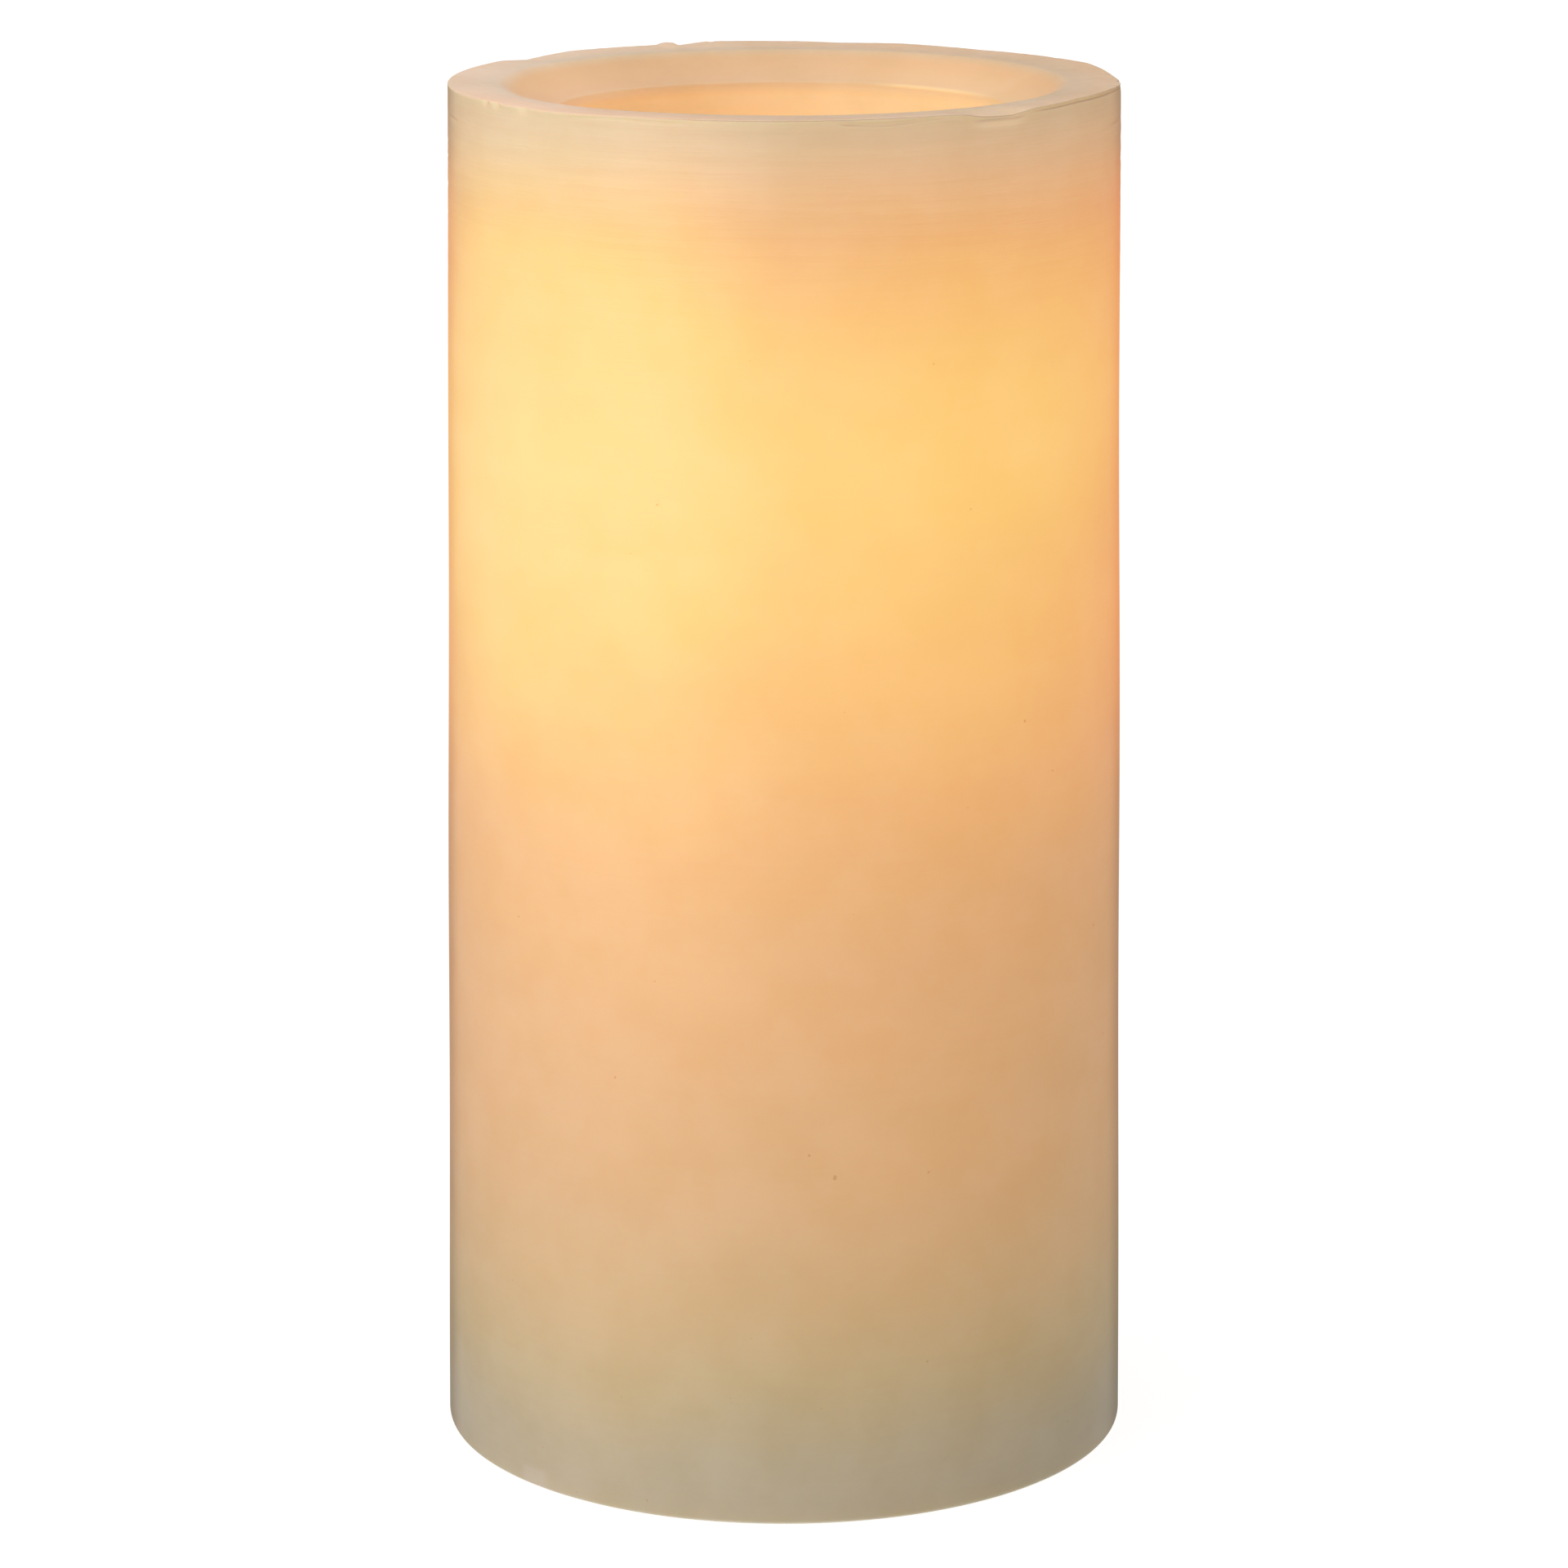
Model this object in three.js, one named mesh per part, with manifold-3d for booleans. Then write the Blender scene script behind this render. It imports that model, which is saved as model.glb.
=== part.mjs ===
// Flameless LED pillar candle: a real-wax pillar with a deep open recess, lit from inside by one
// LED on a post, and fed by a battery base that is set into the underside.
// Millimetres, +Z up. The origin is the centre of the plane that the candle stands on.
import * as THREE from "three";
import { mergeVertices } from "three/addons/utils/BufferGeometryUtils.js";
import Module from "manifold-3d";

const wasm = await Module();
wasm.setup();

// Wax pillar
const candleHeight = 150;
const footRadius = 37.85;
const topRadius = 38.15;
const footRound = 0.6;
const rimRound = 1.0;
const rimInnerRadius = 31.7;
const shoulderRadius = 26.2;
const shoulderDrop = 3.3;
const recessFloorRadius = 25.2;
const recessFloorZ = 102;
const recessFillet = 3;
const waxFloor = 5;
const chamberFootRadius = 29.5;
const chamberTopRadius = 28.6;
const seatZ = 25.5;
const pocketRadius = 33.3;

// Battery base
const baseRadius = 33.0;
const baseWall = 1.5;
const plateFoot = 1.4;
const plateTop = 3.4;
const housingTop = 22.9;
const coverThickness = 1.65;
const seam = 0.05;
const coverTop = housingTop + seam + coverThickness;

// Two AA cells, lying side by side and pointing opposite ways along X
const cellRadius = 7.2;
const cellLength = 50.5;
const cellButtonRadius = 2.75;
const cellPitch = 15.3;
const cellY = cellPitch / 2;
const cellZ = 10.8;
const springLength = 3.2;
const springWireRadius = 0.28;
const springTurns = 3.25;
const contactFace = 27.0;
const contactThickness = 0.35;
const contactFoot = cellZ - 5.4;
const contactTop = cellZ + 5.4;
const bayHalfLength = 27.4;
const bayHalfWidth = 15.3;
const bayWall = 1.2;
const ceilingFoot = 18.3;
const ceilingTop = 19.5;

// Battery door
const hingeX = -26.4;
const hingeZ = 2.4;
const hingePinRadius = 0.55;
const hingePinHalfSpan = 16.8;
const doorFoot = 1.6;
const doorTop = 3.2;
const doorFarX = 27.2;
const doorHalfWidth = 15.2;
const openingHalfLength = 27.5;
const openingHalfWidth = 15.5;
const openingCorner = 4;
const hingeCorner = 0.4;

// LED post and dome
const postTop = 101;
const postRadius = 4.1;
const postBore = 3.0;
const postFlangeRadius = 10.4;
const postFlangeThickness = 1.4;
const ledBoreRadius = 2.55;
const ledRadius = 2.5;
const ledFlangeRadius = 2.9;
const domeRadius = 6.4;
const domeWall = 1.2;
const domeFoot = 94;
const domeTop = 116;
const leadFoot = 87.3;

// Circuit board and slide switch
const boardHalfLength = 13;
const boardNear = 17.8;
const boardFar = 28;
const boardFoot = 8.05;
const boardThickness = 1.0;
const boardTop = boardFoot + boardThickness;
const boardScrewX = 11;
const boardScrewY = 25.4;
const switchY = 22.6;
const switchTravel = 2;
const knobHalfLength = 1.9;
const knobHalfWidth = 1.4;

// Wires: where they land on the board, where they bend, and the level they run at over the bay
const wireRadius = 0.55;
const landingY = 19.2;
const bendZ = 16;
const runZ = 21;

// Fasteners and fits
const coverScrewSpots = [[17, 20.5], [-17, 20.5], [0, -24.5]];
const postScrewX = 7.6;
const pilotRadius = 0.95;
const glueRingRadius = 31.1;
const gap = 0.05;
const fineRound = 64;
const smallRound = 24;
const tinyRound = 12;

const wax = { color: 0xf3dfb8, roughness: 0.55, metalness: 0 };
const ivoryPlastic = { color: 0xe9dfc9, roughness: 0.5, metalness: 0 };
const frostedPlastic = { color: 0xfff1cf, roughness: 0.35, metalness: 0 };
const blackPlastic = { color: 0x1d1d1f, roughness: 0.45, metalness: 0 };
const nickelSteel = { color: 0xc9c8c4, roughness: 0.3, metalness: 1 };
const tinnedCopper = { color: 0xd3cfc6, roughness: 0.35, metalness: 1 };
const boardGreen = { color: 0x2f6b3f, roughness: 0.5, metalness: 0 };
const blackEpoxy = { color: 0x161616, roughness: 0.35, metalness: 0 };
const aluminiumCan = { color: 0xb9bcc0, roughness: 0.35, metalness: 1 };
const resistorBlue = { color: 0x6fa6c9, roughness: 0.5, metalness: 0 };
const cellSleeve = { color: 0x3b4f63, roughness: 0.35, metalness: 0.2 };
const redVinyl = { color: 0xb3261e, roughness: 0.5, metalness: 0 };
const blackVinyl = { color: 0x1b1b1c, roughness: 0.5, metalness: 0 };
const hotMelt = { color: 0xe8dcb6, roughness: 0.4, metalness: 0 };
const warmEpoxy = { color: 0xffd58a, roughness: 0.15, metalness: 0 };

// ---- solids ----

// A closed geometry as a solid that can be joined and cut.
function solidOf(geometry) {
  const bare = geometry.clone();
  bare.deleteAttribute("normal");
  bare.deleteAttribute("uv");
  const merged = mergeVertices(bare, 1e-4);
  return new wasm.Manifold(new wasm.Mesh({
    numProp: 3,
    vertProperties: merged.attributes.position.array,
    triVerts: new Uint32Array(merged.index.array),
  }));
}

function geometryOf(solid) {
  const { vertProperties, triVerts } = solid.getMesh();
  const geometry = new THREE.BufferGeometry();
  geometry.setAttribute("position", new THREE.BufferAttribute(vertProperties, 3));
  geometry.setIndex(new THREE.BufferAttribute(triVerts, 1));
  geometry.computeVertexNormals();
  return geometry;
}

// The first geometry with the others joined to it.
function join(first, ...others) {
  return geometryOf(others.reduce((sum, each) => sum.add(solidOf(each)), solidOf(first)));
}

// The first geometry with the others cut out of it.
function cut(first, ...others) {
  return geometryOf(others.reduce((left, each) => left.subtract(solidOf(each)), solidOf(first)));
}

// What two geometries share.
function common(first, second) {
  return geometryOf(solidOf(first).intersect(solidOf(second)));
}

// A body of revolution about Z. The profile runs counter-clockwise in radius and height.
function lathe(profile, segments) {
  const points = profile.getPoints(4);
  if (points[0].x > 0) points.push(points[0].clone());
  return new THREE.LatheGeometry(points, segments).rotateX(Math.PI / 2);
}

function cylinder(radius, foot, top, x = 0, y = 0, segments = tinyRound) {
  const geometry = new THREE.CylinderGeometry(radius, radius, top - foot, segments);
  return geometry.rotateX(Math.PI / 2).translate(x, y, (foot + top) / 2);
}

function cylinderAlongY(radius, from, to, x, z) {
  const geometry = new THREE.CylinderGeometry(radius, radius, to - from, tinyRound);
  return geometry.translate(x, (from + to) / 2, z);
}

function box(x0, x1, y0, y1, z0, z1) {
  const geometry = new THREE.BoxGeometry(x1 - x0, y1 - y0, z1 - z0);
  return geometry.translate((x0 + x1) / 2, (y0 + y1) / 2, (z0 + z1) / 2);
}

// A rectangle with round corners as a shape. The corners at x0 can be rounder or sharper.
function roundedRectangle(x0, x1, y0, y1, corner, nearCorner = corner) {
  const shape = new THREE.Shape();
  shape.moveTo(x0 + nearCorner, y0);
  shape.lineTo(x1 - corner, y0);
  shape.absarc(x1 - corner, y0 + corner, corner, -Math.PI / 2, 0);
  shape.lineTo(x1, y1 - corner);
  shape.absarc(x1 - corner, y1 - corner, corner, 0, Math.PI / 2);
  shape.lineTo(x0 + nearCorner, y1);
  shape.absarc(x0 + nearCorner, y1 - nearCorner, nearCorner, Math.PI / 2, Math.PI);
  shape.lineTo(x0, y0 + nearCorner);
  shape.absarc(x0 + nearCorner, y0 + nearCorner, nearCorner, Math.PI, Math.PI * 1.5);
  return shape;
}

function slab(shape, foot, top) {
  const settings = { depth: top - foot, bevelEnabled: false, curveSegments: 5 };
  return new THREE.ExtrudeGeometry(shape, settings).translate(0, 0, foot);
}

// A shape drawn in Y and Z, given its thickness along X.
function sheetAcrossX(shape, x0, x1) {
  const turn = new THREE.Matrix4().makeBasis(
    new THREE.Vector3(0, 1, 0),
    new THREE.Vector3(0, 0, 1),
    new THREE.Vector3(1, 0, 0),
  );
  return slab(shape, x0, x1).applyMatrix4(turn);
}

// A round rod along a curve.
function rodAlong(curve, radius, steps, sides = 6) {
  const section = new THREE.Shape().absarc(0, 0, radius, 0, Math.PI * 2);
  const settings = { steps, extrudePath: curve, curveSegments: sides / 2 };
  return new THREE.ExtrudeGeometry(section, settings);
}

function wireThrough(points, steps) {
  const spots = points.map(([x, y, z]) => new THREE.Vector3(x, y, z));
  return rodAlong(new THREE.CatmullRomCurve3(spots, false, "centripetal"), wireRadius, steps);
}

// ---- wax ----

function waxShell() {
  const ledgeZ = candleHeight - shoulderDrop;
  const domeHole = domeRadius + 0.4;
  const profile = new THREE.Path();
  profile.moveTo(pocketRadius, 0);
  profile.lineTo(footRadius - footRound, 0);
  profile.quadraticCurveTo(footRadius, 0, footRadius, footRound);
  profile.lineTo(topRadius, candleHeight - rimRound);
  profile.quadraticCurveTo(topRadius, candleHeight, topRadius - rimRound, candleHeight);
  profile.lineTo(rimInnerRadius, candleHeight);
  profile.quadraticCurveTo(rimInnerRadius - 2.4, ledgeZ + 0.6, shoulderRadius, ledgeZ);
  profile.lineTo(recessFloorRadius, recessFloorZ + recessFillet);
  profile.quadraticCurveTo(
    recessFloorRadius, recessFloorZ, recessFloorRadius - recessFillet, recessFloorZ,
  );
  profile.lineTo(domeHole, recessFloorZ);
  profile.lineTo(domeHole, recessFloorZ - waxFloor);
  profile.lineTo(chamberTopRadius, recessFloorZ - waxFloor);
  profile.lineTo(chamberFootRadius, seatZ);
  profile.lineTo(pocketRadius, seatZ);
  return lathe(profile, fineRound);
}

// One dab of hot-melt glue between the base and the seat in the wax.
function glueBead() {
  const height = seatZ - coverTop - 2 * gap;
  const profile = new THREE.Path();
  profile.moveTo(0, 0);
  profile.lineTo(1.5, 0);
  profile.quadraticCurveTo(1.9, height / 2, 1.5, height);
  profile.lineTo(0, height);
  return lathe(profile, tinyRound);
}

// ---- battery base ----

function housingCup() {
  const chamfer = 0.6;
  const profile = new THREE.Path();
  profile.moveTo(0, plateFoot);
  profile.lineTo(baseRadius - chamfer, plateFoot);
  profile.lineTo(baseRadius, plateFoot + chamfer);
  profile.lineTo(baseRadius, housingTop);
  profile.lineTo(baseRadius - baseWall, housingTop);
  profile.lineTo(baseRadius - baseWall, plateTop);
  profile.lineTo(0, plateTop);
  return lathe(profile, fineRound);
}

// The box that holds the two cells, open at the foot where the door is.
function batteryBay() {
  const outer = box(
    -bayHalfLength - bayWall, bayHalfLength + bayWall,
    -bayHalfWidth - bayWall, bayHalfWidth + bayWall,
    plateTop - 0.5, ceilingTop,
  );
  const inner = box(
    -bayHalfLength, bayHalfLength, -bayHalfWidth, bayHalfWidth, plateTop - 1, ceilingFoot,
  );
  return common(cut(outer, inner), cylinder(baseRadius - 0.5, 0, housingTop, 0, 0, fineRound));
}

// A screw boss and the web that ties it to the outer wall.
function coverBoss(x, y) {
  const angle = Math.atan2(y, x);
  const far = baseRadius - baseWall / 2;
  const web = box(Math.hypot(x, y), far, -0.5, 0.5, plateTop - 0.5, housingTop - 3).rotateZ(angle);
  return join(cylinder(2.3, plateTop - 0.5, housingTop, x, y, tinyRound), web);
}

function doorOpening() {
  const shape = roundedRectangle(
    -openingHalfLength, openingHalfLength, -openingHalfWidth, openingHalfWidth,
    openingCorner, hingeCorner,
  );
  return slab(shape, plateFoot - 1, plateTop + 0.01);
}

function baseHousing() {
  const slotHalf = switchTravel + knobHalfLength + 0.5;
  const bosses = coverScrewSpots.map(([x, y]) => coverBoss(x, y));
  const boardBosses = [-1, 1].map((side) =>
    cylinder(1.9, plateTop - 0.5, boardFoot - gap, side * boardScrewX, boardScrewY),
  );
  const whole = join(housingCup(), batteryBay(), ...bosses, ...boardBosses);
  const coverPilots = coverScrewSpots.map(([x, y]) =>
    cylinder(pilotRadius, plateTop + 8, housingTop + 1, x, y),
  );
  const boardPilots = [-1, 1].map((side) =>
    cylinder(pilotRadius, plateTop + 0.6, boardFoot + 1, side * boardScrewX, boardScrewY),
  );
  const pinHole = cylinderAlongY(
    hingePinRadius + 0.1, -hingePinHalfSpan - 0.3, hingePinHalfSpan + 0.3, hingeX, hingeZ,
  );
  const tabSlots = [-1, 1].map((side) =>
    box(-contactFace - 0.6, -contactFace + 0.2, side * cellY - 1.9, side * cellY + 1.9, 17, 21),
  );
  const slotSide = knobHalfWidth + 0.4;
  const slotShape = roundedRectangle(-slotHalf, slotHalf, switchY - slotSide, switchY + slotSide, 0.6);
  const switchSlot = slab(slotShape, plateFoot - 1, plateTop + 1);
  const dishShape = roundedRectangle(-slotHalf - 2, slotHalf + 2, switchY - 3.6, switchY + 3.6, 2);
  const switchDish = slab(dishShape, plateFoot - 1, plateFoot + 0.5);
  const thumbScoop = new THREE.SphereGeometry(1, smallRound, tinyRound);
  thumbScoop.scale(3, 6, 2).translate(openingHalfLength + 1.1, 0, plateFoot - 0.8);
  return cut(
    whole, doorOpening(), ...coverPilots, ...boardPilots, pinHole, ...tabSlots,
    switchSlot, switchDish, thumbScoop,
  );
}

function baseCover() {
  const foot = housingTop + seam;
  const wallInside = baseRadius - baseWall;
  const profile = new THREE.Path();
  profile.moveTo(0, foot);
  profile.lineTo(wallInside - 1.3, foot);
  profile.lineTo(wallInside - 1.3, foot - 1.5);
  profile.lineTo(wallInside - 0.3, foot - 1.5);
  profile.lineTo(wallInside - 0.3, foot);
  profile.lineTo(baseRadius, foot);
  profile.lineTo(baseRadius, coverTop - 0.5);
  profile.lineTo(baseRadius - 0.5, coverTop);
  profile.lineTo(0, coverTop);
  const disc = lathe(profile, fineRound);
  const postBosses = [-1, 1].map((side) => cylinder(2.2, foot - 2.2, foot + 0.5, side * postScrewX, 0));
  const holes = [
    cylinder(2.8, foot - 1, coverTop + 1, 0, 0, smallRound),
    ...[-1, 1].map((side) => cylinder(1.0, foot - 3, coverTop + 1, side * postScrewX, 0)),
    ...coverScrewSpots.map(([x, y]) => cylinder(1.2, foot - 1, coverTop + 1, x, y)),
  ];
  const webRoom = coverScrewSpots.map(([x, y]) =>
    box(Math.hypot(x, y) - 1, wallInside, -1, 1, foot - 2, foot - 0.01).rotateZ(Math.atan2(y, x)),
  );
  return cut(join(disc, ...postBosses), ...holes, ...webRoom);
}

// A pan-head self-tapping screw: the underside of its head is at z = 0.
function panScrew(headRadius, shankRadius, length) {
  const profile = new THREE.Path();
  profile.moveTo(0, -length);
  profile.lineTo(shankRadius, -length + 1.2);
  profile.lineTo(shankRadius, 0);
  profile.lineTo(headRadius, 0);
  profile.lineTo(headRadius, 0.5);
  profile.quadraticCurveTo(headRadius, 1.3, headRadius * 0.45, 1.4);
  profile.lineTo(0, 1.4);
  const slots = [0, Math.PI / 2].map((turn) => box(-1.1, 1.1, -0.22, 0.22, 0.7, 2).rotateZ(turn));
  return cut(lathe(profile, tinyRound), ...slots);
}

// ---- cells and contacts ----

// One AA cell along +X, with its button at the +X end and its middle at the origin.
function cell() {
  const shoulder = cellLength - 1.3;
  const profile = new THREE.Path();
  profile.moveTo(0, 0);
  profile.lineTo(5.4, 0);
  profile.lineTo(5.9, 0.3);
  profile.lineTo(6.6, 0.3);
  profile.quadraticCurveTo(cellRadius, 0.3, cellRadius, 1);
  profile.lineTo(cellRadius, shoulder - 0.8);
  profile.quadraticCurveTo(cellRadius, shoulder, cellRadius - 0.8, shoulder);
  profile.lineTo(cellButtonRadius, shoulder);
  profile.lineTo(cellButtonRadius, cellLength - 0.3);
  profile.lineTo(cellButtonRadius - 0.3, cellLength);
  profile.lineTo(0, cellLength);
  return lathe(profile, smallRound).translate(0, 0, -cellLength / 2).rotateY(Math.PI / 2);
}

// A conical coil along +X that narrows towards the cell.
class ConicalCoil extends THREE.Curve {
  getPoint(t) {
    const inset = springWireRadius + 0.02;
    const angle = t * springTurns * Math.PI * 2;
    const radius = 4.4 - 1.9 * t;
    const x = inset + t * (springLength - 2 * inset);
    return new THREE.Vector3(x, radius * Math.cos(angle), radius * Math.sin(angle));
  }
}

function contactSpring() {
  return rodAlong(new ConicalCoil(), springWireRadius, 36);
}

// A contact sheet for one cell, with a solder tab that stands up through the ceiling of the bay.
function tabContact(x0, y) {
  const shape = roundedRectangle(y - 5.2, y + 5.2, contactFoot, contactTop, 1.2);
  const sheet = sheetAcrossX(shape, x0, x0 + contactThickness);
  const tab = box(x0, x0 + contactThickness, y - 1.5, y + 1.5, 15.5, 21.2);
  return join(sheet, tab);
}

function bridgeContact(x0) {
  const shape = roundedRectangle(-cellY - 5, cellY + 5, contactFoot, contactTop, 2);
  return sheetAcrossX(shape, x0, x0 + contactThickness);
}

// ---- battery door ----

function batteryDoor() {
  const nearX = hingeX - 0.6;
  const shape = roundedRectangle(
    nearX, doorFarX, -doorHalfWidth, doorHalfWidth, openingCorner - 0.1, hingeCorner - 0.1,
  );
  const plate = slab(shape, doorFoot, doorTop);
  const pins = [-1, 1].map((side) => {
    const ends = [side * (doorHalfWidth - 3), side * hingePinHalfSpan].sort((a, b) => a - b);
    return cylinderAlongY(hingePinRadius, ends[0], ends[1], hingeX, hingeZ);
  });
  const stiffenerY = doorHalfWidth - 1.2;
  const stiffeners = [-1, 1].map((side) =>
    box(-20, 20, side * stiffenerY - 0.5, side * stiffenerY + 0.5, doorTop - 0.2, doorTop + 1.6),
  );
  const latch = box(doorFarX - 2.2, doorFarX - 0.6, -2.8, 2.8, doorTop - 0.2, doorTop + 1.2);
  const fingerSlots = [-1, 1].map((side) =>
    box(doorFarX - 9, doorFarX + 1, side * 4 - 0.4, side * 4 + 0.4, doorFoot - 1, doorTop + 2),
  );
  const grooves = [0, 1, 2].map((row) => {
    const x = doorFarX - 9.7 + row * 2.2;
    return box(x, x + 1, -3, 3, doorFoot - 1, doorFoot + 0.45);
  });
  return cut(join(plate, ...pins, ...stiffeners, latch), ...fingerSlots, ...grooves);
}

// ---- LED and its post ----

function ledPost() {
  const flangeFoot = coverTop + seam;
  const flangeTop = flangeFoot + postFlangeThickness;
  const profile = new THREE.Path();
  profile.moveTo(postBore, flangeFoot);
  profile.lineTo(postFlangeRadius, flangeFoot);
  profile.lineTo(postFlangeRadius, flangeTop);
  profile.lineTo(postRadius + 1.6, flangeTop);
  profile.quadraticCurveTo(postRadius + 0.3, flangeTop, postRadius + 0.3, flangeTop + 2.4);
  profile.lineTo(postRadius, postTop);
  profile.lineTo(ledBoreRadius, postTop);
  profile.lineTo(ledBoreRadius, postTop - 6);
  profile.lineTo(postBore, postTop - 7);
  const holes = [-1, 1].map((side) => cylinder(1.1, flangeFoot - 1, flangeTop + 1, side * postScrewX, 0));
  return cut(lathe(profile, smallRound), ...holes);
}

function ledBulb() {
  const foot = postTop + gap;
  const dome = foot + 6.2;
  const profile = new THREE.Path();
  profile.moveTo(0, foot);
  profile.lineTo(ledFlangeRadius, foot);
  profile.lineTo(ledFlangeRadius, foot + 1);
  profile.lineTo(ledRadius, foot + 1);
  profile.lineTo(ledRadius, dome);
  profile.absarc(0, dome, ledRadius, 0, Math.PI / 2);
  return lathe(profile, smallRound);
}

function ledLead(x) {
  return box(x - 0.25, x + 0.25, -0.25, 0.25, leadFoot, postTop);
}

function diffuserDome() {
  const inner = domeRadius - domeWall;
  const springing = domeTop - domeRadius;
  const collarTop = domeFoot + 4;
  const profile = new THREE.Path();
  profile.moveTo(postRadius + 0.25, domeFoot);
  profile.lineTo(domeRadius, domeFoot);
  profile.lineTo(domeRadius, springing);
  profile.absarc(0, springing, domeRadius, 0, Math.PI / 2);
  profile.lineTo(0, springing + inner);
  profile.absarc(0, springing, inner, Math.PI / 2, 0, true);
  profile.lineTo(inner, collarTop + 1);
  profile.lineTo(postRadius + 0.25, collarTop);
  return lathe(profile, smallRound);
}

// ---- circuit board ----

function circuitBoard() {
  const shape = roundedRectangle(-boardHalfLength, boardHalfLength, boardNear, boardFar, 1);
  const holes = [-1, 1].map((side) => cylinder(1.15, 0, 20, side * boardScrewX, boardScrewY));
  return cut(slab(shape, boardFoot, boardTop), ...holes);
}

// The drop of black epoxy that covers the timer and flicker chip.
function chipDrop() {
  const profile = new THREE.Path();
  profile.moveTo(0, 0);
  profile.lineTo(3, 0);
  profile.quadraticCurveTo(2.7, 1.1, 0, 1.3);
  return lathe(profile, smallRound);
}

// An electrolytic capacitor standing on the board, with the roll-crimp near its foot.
function capacitor() {
  const profile = new THREE.Path();
  profile.moveTo(0, 0);
  profile.lineTo(2, 0);
  profile.lineTo(2, 0.8);
  profile.lineTo(1.8, 1.1);
  profile.lineTo(2, 1.4);
  profile.lineTo(2, 6.7);
  profile.quadraticCurveTo(2, 7, 1.7, 7);
  profile.lineTo(0, 7);
  return lathe(profile, smallRound);
}

// A watch crystal in its can, lying along X on the board.
function crystal() {
  const profile = new THREE.Path();
  profile.moveTo(0, -3);
  profile.lineTo(1.05, -3);
  profile.lineTo(1.05, -2.6);
  profile.lineTo(0.95, -2.5);
  profile.lineTo(0.95, 2.7);
  profile.quadraticCurveTo(0.95, 3, 0.6, 3);
  profile.lineTo(0, 3);
  return lathe(profile, tinyRound).rotateY(Math.PI / 2).translate(0, 0, 1.1);
}

// An axial resistor along Y, standing on its two bent legs.
function resistor() {
  const bodyZ = 1.6;
  const reach = 2.5;
  const half = new THREE.Path();
  half.moveTo(0, -1.7);
  half.lineTo(0.9, -1.7);
  half.lineTo(0.9, -1);
  half.quadraticCurveTo(0.65, 0, 0.9, 1);
  half.lineTo(0.9, 1.7);
  half.lineTo(0, 1.7);
  const body = lathe(half, tinyRound).rotateX(Math.PI / 2).translate(0, 0, bodyZ);
  const wire = box(-0.25, 0.25, -reach, reach, bodyZ - 0.25, bodyZ + 0.25);
  const legs = [-1, 1].map((side) =>
    box(-0.25, 0.25, side * reach - 0.25, side * reach + 0.25, 0, bodyZ + 0.25),
  );
  return join(body, wire, ...legs);
}

// A small transistor: a half-round body on three legs.
function transistor() {
  const round = cylinder(2.3, 1.6, 6.2, 0, 0, smallRound);
  const body = cut(round, box(-3, 3, 1.2, 3, 1, 7));
  const legs = [-1, 0, 1].map((place) =>
    box(place * 1.27 - 0.2, place * 1.27 + 0.2, -0.2, 0.2, 0, 2),
  );
  return join(body, ...legs);
}

function switchBody() {
  const foot = plateTop + 0.9;
  const body = box(-4.4, 4.4, switchY - 1.9, switchY + 1.9, foot, boardFoot - gap);
  const lugs = [-1, 1].map((side) =>
    box(side * 4.6 - 0.7, side * 4.6 + 0.7, switchY - 1.2, switchY + 1.2, foot + 0.4, foot + 0.8),
  );
  const stemRoom = box(-3.2, 3.2, switchY - 0.9, switchY + 0.9, foot - 1, foot + 1.9);
  return cut(join(body, ...lugs), stemRoom);
}

// The knob, drawn in the middle of its travel: cap, finger ribs and the stem into the switch.
function switchKnob() {
  const foot = 0.7;
  const capTop = plateTop + 0.6;
  const outline = roundedRectangle(
    -knobHalfLength, knobHalfLength, switchY - knobHalfWidth, switchY + knobHalfWidth, 0.4,
  );
  const cap = slab(outline, foot, capTop);
  const stem = box(-0.8, 0.8, switchY - 0.65, switchY + 0.65, capTop - 0.2, capTop + 1.8);
  const grooves = [-1, 0, 1].map((place) =>
    box(place * 1.1 - 0.25, place * 1.1 + 0.25, switchY - 3, switchY + 3, foot - 1, foot + 0.35),
  );
  return cut(join(cap, stem), ...grooves);
}

// ---- wiring ----

// From a landing on the board, over the battery bay and up inside the LED post.
function ledWire(startX, endX) {
  return wireThrough([
    [startX, landingY, boardTop + gap],
    [startX, landingY, bendZ],
    [startX * 0.9, landingY - 3, runZ],
    [startX * 0.5 + endX * 0.5, 8, runZ],
    [endX, 1.4, runZ + 0.4],
    [endX, 0, runZ + 4],
    [endX, 0, 34],
    [endX, 0, leadFoot - 0.3],
  ], 30);
}

// From a contact's solder tab, over the bay and down to a landing on the board.
function batteryWire(tabY, startX, midX, midY) {
  return wireThrough([
    [-contactFace + 0.6, tabY, runZ - 0.6],
    [-contactFace + 4, tabY, runZ - 0.3],
    [midX, midY, runZ],
    [startX, landingY - 3, runZ],
    [startX, landingY, bendZ],
    [startX, landingY, boardTop + gap],
  ], 26);
}

// ---- assembly ----

const candle = new THREE.Group();

function piece(name, geometry, look, parent = candle) {
  const mesh = new THREE.Mesh(geometry, new THREE.MeshStandardMaterial(look));
  mesh.name = name;
  parent.add(mesh);
  return mesh;
}

piece("wax_shell", waxShell(), wax);

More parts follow.
